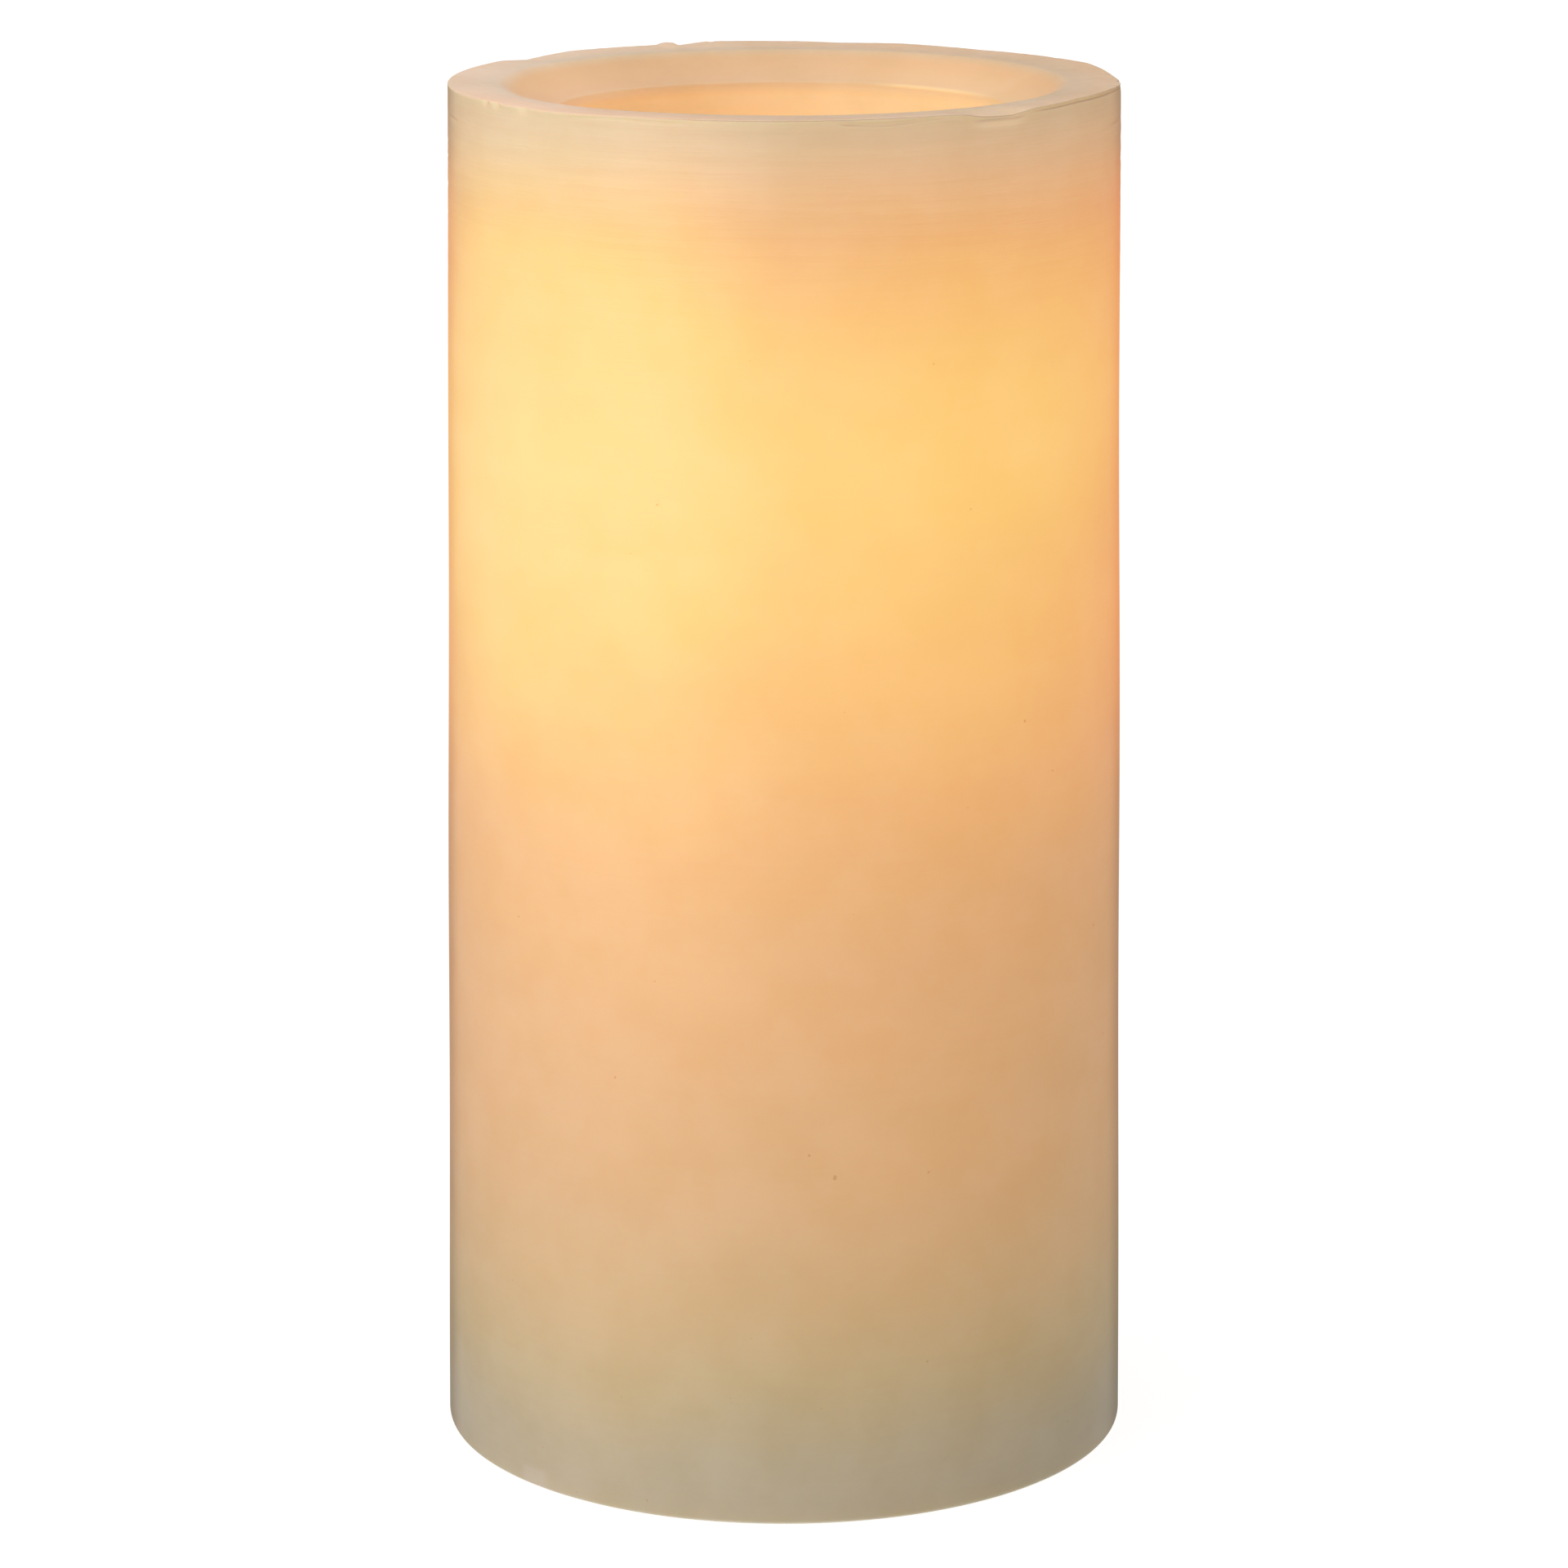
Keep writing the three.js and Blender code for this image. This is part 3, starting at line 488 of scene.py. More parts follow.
def glue_look():
    """Hazy hot-melt glue."""
    look = Look("hot_melt")
    haze = look.noise(350.0, 3.0, 0.5)
    look.set(Base_Color=look.mottled(haze, (0.72, 0.62, 0.42), (0.86, 0.78, 0.60)),
             Roughness=look.span(haze, 0.3, 0.7, 0.22, 0.36), IOR=1.48,
             Subsurface_Weight=0.4, Subsurface_Radius=(1.0, 0.7, 0.4), Subsurface_Scale=1.5 * MM)
    look.set(Normal=look.bump(haze, 0.3, 0.1 * MM))
    return look.material


def frosted_look():
    """The frosted cap, glowing most round the LED inside it."""
    look = Look("frosted_cap")
    z = look.xyz()[2]
    middle = LED_HIGH.z - 2 * MM
    away = look.math("DIVIDE", look.away(z, middle), 12 * MM)
    heart = look.span(away, 0.0, 1.0, 1.0, 0.0)
    frost = look.noise(2600.0, 3.0, 0.6)
    warm = look.ramp(heart, ((0.0, (0.45, 0.16, 0.03)), (0.5, (0.95, 0.48, 0.14)),
                             (1.0, (1.0, 0.74, 0.36))))
    look.set(Base_Color=look.mottled(frost, (0.88, 0.80, 0.66), (0.93, 0.87, 0.76)),
             Emission_Color=warm, Emission_Strength=1.3, Roughness=look.span(frost, 0.3, 0.7, 0.42, 0.60),
             Subsurface_Weight=0.3, Subsurface_Radius=(1.0, 0.7, 0.4), Subsurface_Scale=1.5 * MM)
    look.set(Normal=look.bump(frost, 0.4, 0.03 * MM))
    return look.material


def led_look():
    """Warm-white LED: the epoxy is brightest over the die and paler at its flange."""
    low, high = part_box("led_bulb")
    look = Look("led_epoxy")
    z = look.xyz()[2]
    glow = look.ramp(look.span(z, low.z, high.z, smooth=False),
                     ((0.0, (0.60, 0.28, 0.06)), (0.35, (1.0, 0.72, 0.34)), (1.0, (1.0, 0.88, 0.62))))
    swirl = look.noise(800.0, 2.0, 0.5)
    look.set(Base_Color=look.mottled(swirl, (0.90, 0.72, 0.40), (0.95, 0.80, 0.52)),
             Emission_Color=glow, Emission_Strength=2.0, Roughness=look.span(swirl, 0.3, 0.7, 0.06, 0.16))
    return look.material


def cell_look(name, node, plus):
    """An AA cell: a printed shrink sleeve with a copper band at the plus end, and bare steel ends."""
    low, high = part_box(node)
    centre = (low + high) / 2
    minus_end = low.x if plus > 0 else high.x
    look = Look(name)
    x, y, z = look.xyz()
    along = look.times(look.math("SUBTRACT", x, minus_end), plus)
    up = look.math("SUBTRACT", z, centre.z)
    out = look.math("SUBTRACT", y, centre.y)
    radius = look.length(up, out)
    sleeve = look.span(radius, 6.15 * MM, 6.2 * MM)
    print_grain = look.noise(900.0, 2.0, 0.5)
    dark = look.mottled(print_grain, (0.012, 0.020, 0.045), (0.020, 0.032, 0.065))
    copper = look.mottled(print_grain, (0.58, 0.27, 0.12), (0.68, 0.34, 0.16))
    band = look.span(along, 36.9 * MM, 37.0 * MM)
    line_mask = look.times(look.span(along, 35.2 * MM, 35.3 * MM),
                          look.span(along, 36.1 * MM, 36.2 * MM, 1, 0))
    skin = look.mix(band, dark, copper)
    skin = look.mix(line_mask, skin, (0.75, 0.74, 0.72))
    brush = look.streaks(3.0, 0.6, 300, 2600, 2600)
    steel = look.mottled(brush, (0.56, 0.55, 0.53), (0.74, 0.73, 0.71))
    metallic = look.flip(look.times(sleeve, look.math("SUBTRACT", 0.95, band)))
    look.set(Base_Color=look.mix(sleeve, steel, skin), Metallic=metallic,
             Roughness=look.span(print_grain, 0.3, 0.7, 0.30, 0.33),
             Coat_Weight=look.times(sleeve, 0.3))
    shrunk = look.noise(260.0, 2.0, 0.5, 0.3)
    bare = look.bump(look.times(brush, look.flip(sleeve)), 0.15, 0.02 * MM)
    look.set(Normal=look.bump(look.times(shrunk, sleeve), 0.12, 0.06 * MM, bare))
    return look.material


# ---------------------------------------------------------------- meshes

def placed(name, data):
    """A new object in the scene."""
    piece = bpy.data.objects.new(name, data)
    bpy.context.scene.collection.objects.link(piece)
    return piece


def mesh_piece(name, vertices, faces, material, body="candle"):
    mesh = bpy.data.meshes.new(name)
    mesh.from_pydata([tuple(v) for v in vertices], [], faces)
    mesh.update()
    mesh.shade_smooth()
    mesh.materials.append(material)
    piece = placed(name, mesh)
    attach(piece, body)
    return piece


def ring_faces(rows, around, closed_profile=True):
    """Quads between neighbouring rings, outwards for a profile that runs counter-clockwise."""
    faces = []
    for row in range(rows if closed_profile else rows - 1):
        after = (row + 1) % rows
        for i in range(around):
            j = (i + 1) % around
            faces.append((row * around + i, row * around + j, after * around + j, after * around + i))
    return faces


def weld(mesh, gap=0.0005 * MM, level=0):
    """Merges points that lie on top of each other, and faces that are level within some degrees."""
    work = bmesh.new()
    work.from_mesh(mesh)
    bmesh.ops.remove_doubles(work, verts=work.verts, dist=gap)
    if level:
        bmesh.ops.dissolve_limit(work, angle_limit=math.radians(level),
                                 verts=work.verts, edges=work.edges)
    work.to_mesh(mesh)
    work.free()


def line(start, end, count):
    """Points from start towards end, the end left out."""
    return [(start[0] + (end[0] - start[0]) * i / count, start[1] + (end[1] - start[1]) * i / count)
            for i in range(count)]


def bend(start, corner, end, count):
    """A quadratic curve from start to end that leaves and arrives towards the corner point."""
    points = []
    for i in range(count):
        t = i / count
        points.append(tuple((1 - t) ** 2 * a + 2 * t * (1 - t) * b + t * t * c
                            for a, b, c in zip(start, corner, end)))
    return points


def trace(start, *legs):
    """Points along legs that follow on: (count, end) is straight, (count, corner, end) is a bend."""
    points = []
    for count, *way in legs:
        leg = bend if len(way) == 2 else line
        points += leg(start, *way, count)
        start = way[-1]
    return points


def wax_profile():
    """(radius, height) round the section of the wax, counter-clockwise from the pocket's foot."""
    foot_round = 0.5 * MM
    rim_round = 0.2 * MM
    ledge = HEIGHT - SHOULDER_DROP
    brow = RIM_INNER - 0.9 * MM, HEIGHT - 0.65 * MM
    fillet = 3 * MM
    hole = DOME_HIGH.x + 0.4 * MM
    fine = HEIGHT - 22 * MM
    finest = HEIGHT - 5 * MM
    lean = (TOP_RADIUS - FOOT_RADIUS) / HEIGHT

    def side(z):
        return FOOT_RADIUS + lean * z, z

    return np.array(trace(
        (POCKET_RADIUS, 0),
        (10, (FOOT_RADIUS - foot_round, 0)),
        (6, (FOOT_RADIUS, 0), side(foot_round)),
        (56, side(fine)),
        (48, side(finest)),
        (42, side(HEIGHT - rim_round)),
        (7, (TOP_RADIUS, HEIGHT), (TOP_RADIUS - rim_round, HEIGHT)),
        (34, (RIM_INNER + 0.6 * MM, HEIGHT)),
        (10, (RIM_INNER + 0.1 * MM, HEIGHT), brow),
        (28, (RIM_INNER - 3.1 * MM, ledge + 1.2 * MM), (SHOULDER_RADIUS, ledge)),
        (36, (BORE_FLOOR_RADIUS, FLOOR_TOP + fillet)),
        (8, (BORE_FLOOR_RADIUS, FLOOR_TOP), (BORE_FLOOR_RADIUS - fillet, FLOOR_TOP)),
        (16, (hole, FLOOR_TOP)),
        (4, (hole, FLOOR_FOOT)),
        (10, (CHAMBER_TOP_RADIUS, FLOOR_FOOT)),
        (6, (CHAMBER_FOOT_RADIUS, SEAT_Z)),
        (4, (POCKET_RADIUS, SEAT_Z)),
        (8, (POCKET_RADIUS, 0))))


def step(value, low, high):
    """Smooth step from 0 at low to 1 at high."""
    t = np.clip((value - low) / (high - low), 0, 1)
    return t * t * (3 - 2 * t)


def hill(value, middle, width):
    """1 at the middle and falling to 0 on both sides of it."""
    return np.exp(-((value - middle) / width) ** 2)


def arc(turn, middle, width, power=2):
    """1 near an angle and 0 away from it; both in degrees. A higher power has a flatter top."""
    away = (np.degrees(turn) - middle + 180) % 360 - 180
    return np.exp(-np.abs(away / width) ** power)


def ripple(rng, turn, z, count, turns, waves):
    """Smooth random relief, about -1 to 1: whole waves round the candle, waves per metre up it."""
    total = np.zeros_like(turn)
    for _ in range(count):
        around = rng.integers(*turns)
        up = rng.uniform(*waves) * rng.choice((-1, 1))
        total += np.sin(around * turn + up * z * 2 * math.pi + rng.uniform(0, 2 * math.pi))
    return total / math.sqrt(count)


# Height of the hand-trimmed rim above nominal, in millimetres, by degrees round its outer edge.
# +X is 0 and the back is 90. A blob of wax sits at 112 and a notch at 143.
RIM_WAVE = (
    (-180, 0.05), (-163, 0.00), (-148, 0.10), (-133, 0.00), (-114, 0.17), (-90, 0.20), (-62, 0.30),
    (-56, 0.05), (-49, -0.10), (-44, 0.20), (-32, 0.48), (-17, 0.45), (-6, 0.22), (3, 0.08), (12, 0.10),
    (22, 0.36), (31, 0.26), (52, 0.12), (68, 0.28), (80, 0.14), (86, 0.25), (102.6, 0.37), (103.4, 0.27),
    (104.2, 0.37), (109.6, 0.02), (110.6, 0.36), (111.8, 0.45), (113.0, 0.36), (113.9, 0.17), (132, 0.18),
    (139, -0.08), (143, -0.26), (150, 0.10), (160, 0.08), (180, 0.05),
)


def trim_rim(turn, r, z):
    """The hand-trimmed rim: waves, nicks and the drooping lip, as changes of radius and height."""
    rng = np.random.default_rng(11)
    degrees = (np.degrees(turn) + 180) % 360 - 180
    top = step(z, HEIGHT - 3.2 * MM, HEIGHT - 0.2 * MM)
    outer = step(r, RIM_INNER + 1 * MM, TOP_RADIUS - 0.5 * MM)
    angles, heights = zip(*RIM_WAVE)
    rise = np.interp(degrees, angles, heights) * outer
    softer = arc(turn, 205, 38, 4)  # the inner edge is rounder at the left
    rise -= 0.20 * softer * hill(r, RIM_INNER, 1.0 * MM)
    rise += 0.007 * ripple(rng, turn, z * 0, 14, (30, 140), (0, 1)) * outer
    worn = arc(turn, math.degrees(WORN), 5.5, 4)
    rise -= 0.24 * worn * step(r, RIM_INNER + 0.6 * MM, TOP_RADIUS)
    rise += 0.10 * arc(turn, 43, 20, 6) * hill(r, SHOULDER_RADIUS + 0.3 * MM, 0.35 * MM)
    scratch = TOP_RADIUS - (degrees + 80) / 25 * 5 * MM
    rise -= 0.06 * hill(r, scratch, 0.16 * MM) * arc(turn, -68, 12, 6)
    push = np.zeros_like(turn)
    edge = hill(z, HEIGHT - 0.15 * MM, 0.30 * MM) * outer
    burr = arc(turn, -138, 12, 6) * (0.7 + 0.3 * ripple(rng, turn, z * 0, 6, (20, 90), (0, 1)))
    push += 0.10 * burr * edge
    lip = arc(turn, -25, 21, 8) * outer
    push += 0.08 * lip * step(z, HEIGHT - 0.26 * MM, HEIGHT - 0.10 * MM)
    push -= 0.10 * lip * hill(z, HEIGHT - 0.34 * MM, 0.14 * MM)
    push -= 0.35 * worn * step(z, HEIGHT - 1.6 * MM, HEIGHT) * outer
    for middle, width, depth, tall in (
            (-149.5, 0.9, 0.30, 0.5), (-138.5, 1.2, 0.24, 0.5),
            (-103.5, 0.8, 0.07, 0.4), (-100, 1.5, 0.06, 0.4),
            (-3, 1.6, 0.42, 0.5), (6, 7.0, 0.30, 0.5),
            (33, 0.9, 0.2, 0.5), (214, 1.1, 0.25, 0.5)):
        push -= depth * arc(turn, middle, width) * hill(z, HEIGHT - 0.1 * MM, tall * MM) * outer
    crease = HEIGHT - 0.45 * MM + 0.10 * MM * ripple(rng, turn, z * 0, 4, (6, 22), (0, 1))
    creased = arc(turn, -70, 11, 6) + arc(turn, -118, 11, 6) + 0.6 * arc(turn, -80, 2)
    push -= 0.06 * creased * hill(z, crease, 0.15 * MM) * outer
    return push * MM, rise * MM * top


def weather_side(turn, r, z):
    """Shallow relief on the outside wall: slow undulations, trimming streaks, cracks and scuffs."""
    rng = np.random.default_rng(23)
    outside = step(r, FOOT_RADIUS - 0.8 * MM, FOOT_RADIUS - 0.2 * MM)
    push = 0.05 * ripple(rng, turn, z, 6, (2, 7), (4, 26))
    near_top = step(z, HEIGHT - 30 * MM, HEIGHT - 8 * MM)
    push += 0.010 * near_top * ripple(rng, turn, z, 12, (3, 14), (220, 520))
    for middle in (-8, -172):
        for down in (3.5, 6.0, 8.2, 11.5, 14.0):
            mark = hill(z, HEIGHT - (down + rng.uniform(-0.5, 0.5)) * MM, 0.16 * MM)
            push -= 0.05 * arc(turn, middle + rng.uniform(-5, 5), rng.uniform(3, 8), 4) * mark
    push -= 0.10 * arc(turn, math.degrees(SCUFF), 2.4, 4) * hill(z, 1.3 * MM, 0.8 * MM)
    for _ in range(26):
        pit = hill(z, rng.uniform(2, 146) * MM, rng.uniform(0.25, 0.5) * MM)
        push -= 0.08 * arc(turn, rng.uniform(0, 360), rng.uniform(0.4, 0.9)) * pit
    return push * MM * outside


def weather_recess(turn, r, z):
    """The recess as it was scooped: slow waves all over it, and a raised line on the ledge."""
    rng = np.random.default_rng(37)
    inside = step(r, RIM_INNER + 1 * MM, RIM_INNER - 1 * MM)
    inside *= step(z, FLOOR_TOP + 1 * MM, FLOOR_TOP + 6 * MM)
    push = 0.10 * ripple(rng, turn, z, 5, (1, 6), (4, 30))
    push += 0.02 * ripple(rng, turn, z, 10, (3, 12), (180, 420))
    push -= 0.12 * hill(z, HEIGHT - SHOULDER_DROP, 0.25 * MM) * (1 + arc(turn, 40, 50, 4)) * 0.5
    return push * MM * inside


def wax_shell():
    """The pillar: its section turned round the axis, then trimmed and weathered."""
    around = 1080
    profile = wax_profile()
    rows = len(profile)
    turn = np.tile(np.arange(around) * 2 * math.pi / around, (rows, 1))
    r = np.repeat(profile[:, :1], around, 1)
    z = np.repeat(profile[:, 1:], around, 1)
    push, rise = trim_rim(turn, r, z)
    push += weather_side(turn, r, z) + weather_recess(turn, r, z)
    radius = r + push
    co = np.stack([radius * np.cos(turn), radius * np.sin(turn), z + rise], -1).reshape(-1, 3)
    piece = mesh_piece("wax_pillar", co, ring_faces(rows, around), wax_look())
    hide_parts("wax_shell")


# ---------------------------------------------------------------- hardware pieces

def refined(node, name, material, body="candle", bevel=0.15 * MM, limit=32):
    """A finer copy of a CAD node: flat faces merged, sharp edges rounded, round faces shaded smooth."""
    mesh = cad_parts[node].data.copy()
    mesh.name = name
    mesh.materials.clear()
    mesh.materials.append(material)
    weld(mesh, 0.002 * MM, 0.5)
    piece = placed(name, mesh)
    rounding = piece.modifiers.new("rounding", "BEVEL")
    rounding.width = bevel
    rounding.segments = 2
    rounding.limit_method = "ANGLE"
    rounding.angle_limit = math.radians(limit)
    piece.modifiers.new("triangles", "TRIANGULATE")
    final = bpy.data.meshes.new_from_object(piece.evaluated_get(bpy.context.evaluated_depsgraph_get()))
    piece.modifiers.clear()
    piece.data = final
    final.polygons.foreach_set("use_smooth", [True] * len(final.polygons))
    final.set_sharp_from_angle(angle=math.radians(limit + 4))
    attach(piece, body)
    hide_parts(node)


def turned(name, profile, material, around=96, centre=(0, 0), body="candle", closed=True):
    """A turned piece about a vertical axis, from (radius, height) points, counter-clockwise."""
    profile = np.array(profile)
    turn = np.arange(around) * 2 * math.pi / around
    co = np.stack([np.outer(profile[:, 0], np.cos(turn)) + centre[0],
                   np.outer(profile[:, 0], np.sin(turn)) + centre[1],
                   np.repeat(profile[:, 1:], around, 1)], -1).reshape(-1, 3)
    on_axis = profile[:, 0] == 0
    faces = [face for face in ring_faces(len(profile), around, closed)
             if not (on_axis[face[0] // around] and on_axis[face[3] // around])]
    piece = mesh_piece(name, co, faces, material, body)
    weld(piece.data)
    return piece


def sweep(name, path, radius, material, sides=16, body="candle"):
    """A round rod along a smooth path, closed at both ends."""
    path = np.array(path)
    ahead = np.gradient(path, axis=0)
    ahead /= np.linalg.norm(ahead, axis=1)[:, None]
    across = np.cross(ahead[0], (0.31, 0.55, 0.77))
    turn = np.arange(sides) * 2 * math.pi / sides
    rings = []
    for spot, way in zip(path, ahead):
        across = across - way * np.dot(across, way)
        across /= np.linalg.norm(across)
        circle = np.outer(np.cos(turn), across) + np.outer(np.sin(turn), np.cross(way, across))
        rings.append(spot + radius * circle)
    faces = ring_faces(len(path), sides, False)
    last = (len(path) - 1) * sides
    faces += [tuple(range(sides)), tuple(last + i for i in reversed(range(sides)))]
    piece = mesh_piece(name, np.concatenate(rings), faces, material, body)
    return piece


def battery(node, name, plus):
    """An AA cell: rolled sleeve, dished minus end, stepped button; plus is the way it points along X."""
    low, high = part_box(node)
    length = high.x - low.x
    minus_end = low.x if plus > 0 else high.x
    centre = (low + high) / 2
    full = (high.z - low.z) / 2
    dish = [(0, 0), (4.4, 0), (4.7, 0.12), (4.9, 0.35), (5.5, 0.35),
            (5.75, 0.10), (6.1, 0.05), (6.5, 0.08)]
    outline = [(r * MM, a * MM) for r, a in dish]
    outline += trace((6.6 * MM, 0.1 * MM),
                     (8, (full, 0.15 * MM), (full, 0.9 * MM)),
                     (24, (full, length - 2.3 * MM)),
                     (8, (full, length - 1.35 * MM), (6.4 * MM, length - 1.3 * MM)))
    crown = [(6.4, 1.30), (6.15, 1.33), (6.05, 1.55), (5.6, 1.62), (4.0, 1.45), (3.1, 1.32), (2.85, 1.15)]
    crown += [(2.75, 0.9), (2.75, 0.4), (2.65, 0.15), (2.4, 0.02), (2.1, 0), (0, 0)]
    outline += [(r * MM, length - a * MM) for r, a in crown]
    outline = np.array(outline)
    around = 96
    turn = np.arange(around) * 2 * math.pi / around * plus
    co = np.stack([np.repeat(minus_end + plus * outline[:, 1:], around, 1),
                   centre.y + np.outer(outline[:, 0], np.cos(turn)),
                   centre.z + np.outer(outline[:, 0], np.sin(turn))], -1).reshape(-1, 3)
    faces = ring_faces(len(outline), around, False)
    piece = mesh_piece(name, co, faces, cell_look(name, node, plus), node)
    weld(piece.data)
    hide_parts(node)


def spring(node, name, cell, way, material):
    """A conical coil from its contact sheet to the cell; way points from the sheet to the cell."""
    low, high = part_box(node)
    cell_low, cell_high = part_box(cell)
    centre = (cell_low + cell_high) / 2
    wire = 0.28 * MM
    sheet = low.x - 0.06 * MM if way > 0 else high.x + 0.06 * MM
    length = high.x - low.x + 0.03 * MM
    t = np.linspace(0, 1, 220)
    eased = t - 0.55 * np.sin(2 * math.pi * t) / (2 * math.pi)
    radius = (4.4 - 1.9 * t) * MM
    angle = t * 3.25 * 2 * math.pi
    path = np.stack([sheet + way * (wire + eased * (length - 2 * wire)),
                     centre.y + radius * np.cos(angle), centre.z + radius * np.sin(angle)], -1)
    piece = sweep(name, path, wire, material, 12)
    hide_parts(node)
    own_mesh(piece)


def smooth_path(points, count):
    """A smooth curve through points, as count places along it."""
    spots = np.array(points)
    at = np.concatenate([[0], np.cumsum(np.sqrt(np.linalg.norm(np.diff(spots, axis=0), axis=1)))])
    slope = np.gradient(spots, at, axis=0)
    want = np.linspace(0, at[-1], count)
    i = np.clip(np.searchsorted(at, want, "right") - 1, 0, len(at) - 2)
    gap = (at[i + 1] - at[i])[:, None]
    u = (want - at[i])[:, None] / gap
    return ((2 * u ** 3 - 3 * u ** 2 + 1) * spots[i] + (u ** 3 - 2 * u ** 2 + u) * gap * slope[i]
            + (3 * u ** 2 - 2 * u ** 3) * spots[i + 1] + (u ** 3 - u ** 2) * gap * slope[i + 1])


def wires(tin):
    """The lamp's two wires, the two from the cells, and the solder on the board."""
    landing = BOARD_LOW.y + 1.4 * MM
    top = BOARD_HIGH.z + 0.05 * MM
    turn_z = 16 * MM
    run = 21 * MM
    for colour, pale, deep, start, end, entry, tab, middle in (
            ("red", (0.50, 0.022, 0.016), (0.36, 0.014, 0.012), -4.0 * MM, 0.9 * MM,
             -8.8 * MM, -7.65 * MM, (-15 * MM, 5 * MM)),
            ("black", (0.020, 0.020, 0.021), (0.032, 0.031, 0.031), -6.4 * MM, -0.9 * MM,
             -11.2 * MM, 7.65 * MM, (-17.5 * MM, 13 * MM))):
        material = vinyl(f"{colour}_insulation", pale, deep)
        to_lamp = smooth_path([(start, landing, top), (start, landing, turn_z),
                               (start * 0.9, landing - 3 * MM, run), ((start + end) / 2, 8 * MM, run),
                               (end, 1.4 * MM, run + 0.4 * MM), (end, 0, run + 4 * MM),
                               (end, 0, 34 * MM), (end, 0, 87 * MM)], 150)
        from_cells = smooth_path([(-26.4 * MM, tab, run - 0.6 * MM), (-23 * MM, tab, run - 0.3 * MM),
                                  (*middle, run), (entry, landing - 3 * MM, run),
                                  (entry, landing, turn_z), (entry, landing, top)], 120)
        for kind, way, path in (("led", "lead", to_lamp), ("battery", "supply", from_cells)):
            piece = sweep(f"{kind}_{way}_wire_{colour}", path, 0.55 * MM, material,
                          14)
            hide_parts(f"{kind}_wire_{colour}")
    for i, x in enumerate((-4.0, -6.4, -8.8, -11.2)):
        blob = [(0, 0), (0.95, 0)] + bend((0.95, 0), (0.75, 0.5), (0.3, 0.9), 5) + [(0.3, 0.9), (0, 0.95)]
        profile = [(r * MM, BOARD_HIGH.z + (z - 0.02) * MM) for r, z in blob]
        place = (x * MM, landing)
        turned(f"solder_joint_{i + 1}", profile, tin, 32, place, closed=False)


def quarter(radius, level):
    """A quarter circle from the side up to the axis, the last point left out."""
    angles = [i * math.pi / 36 for i in range(18)]
    return [(radius * math.cos(a), level + radius * math.sin(a)) for a in angles]


def led_and_cap():
    """The frosted cap that stands up through the recess floor, and the lamp inside it."""
    springing = DOME_HIGH.z - DOME_HIGH.x
    outer = DOME_HIGH.x
    inner = outer - 1.2 * MM
    neck = 4.35 * MM
    profile = [(neck, DOME_LOW.z), (outer - 0.2 * MM, DOME_LOW.z), (outer, DOME_LOW.z + 0.2 * MM)]
    profile += line((outer, DOME_LOW.z + 0.4 * MM), (outer, springing), 12)
    profile += quarter(outer, springing)
    profile += [(0, springing + outer), (0, springing + inner)]
    profile += reversed(quarter(inner, springing))
    profile += [(inner, DOME_LOW.z + 5 * MM), (neck, DOME_LOW.z + 4 * MM)]
    cap = turned("frosted_cap", profile, frosted_look(), 96)
    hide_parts("diffuser_dome")
    low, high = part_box("led_bulb")
    flange = high.x
    bulb = flange - 0.4 * MM
    top = high.z - bulb
    profile = [(0, low.z), (flange - 0.1 * MM, low.z), (flange, low.z + 0.1 * MM),
               (flange, low.z + 0.9 * MM), (flange - 0.1 * MM, low.z + 1 * MM),
               (bulb, low.z + 1 * MM), (bulb, low.z + 1.2 * MM)]
    profile += quarter(bulb, top) + [(0, high.z)]
    piece = turned("led_lamp", profile, led_look(), 64, closed=False)
    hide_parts("led_bulb")


def glue():
    """The three dabs that hold the base in the wax."""
    material = glue_look()
    for i in (1, 2, 3):
        node = f"glue_bead_{i}"
        low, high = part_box(node)
        centre = (low + high) / 2
        reach = (high.x - low.x) / 2
        tall = high.z - low.z
        profile = [(0, low.z), (reach * 0.82, low.z)]
        profile += bend((reach * 0.86, low.z), (reach * 1.12, low.z + tall / 2), (reach * 0.8, high.z), 8)
        profile += [(reach * 0.8, high.z), (0, high.z)]
        place = (centre.x, centre.y)
        piece = turned(f"glue_dab_{i}", profile, material, 40, place, closed=False)
        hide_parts(node)


def switch_marks(plastic):
    """Three small moulded marks beside the switch: a ring for off, a dot for on, a bar for the timer."""
    level = BASE_LOW.z
    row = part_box("switch_knob")[1].y + 3.6 * MM
    ring = [(0.45, 0.02), (0.5, -0.16), (0.75, -0.16), (0.8, 0.02)]
    dot = [(0, -0.18), (0.45, -0.16), (0.6, 0.02), (0, 0.02)]
    for name, x, outline, closed in (("off_mark", -2.6, ring, True), ("on_mark", 0.0, dot, False)):
        profile = [(r * MM, level + z * MM) for r, z in outline]
        turned(name, profile, plastic, 40, (x * MM, row), closed=closed)
    bar = [(2.6 * MM, row + away * MM, level) for away in (-0.7, 0, 0.7)]
    sweep("timer_mark", bar, 0.2 * MM, plastic)


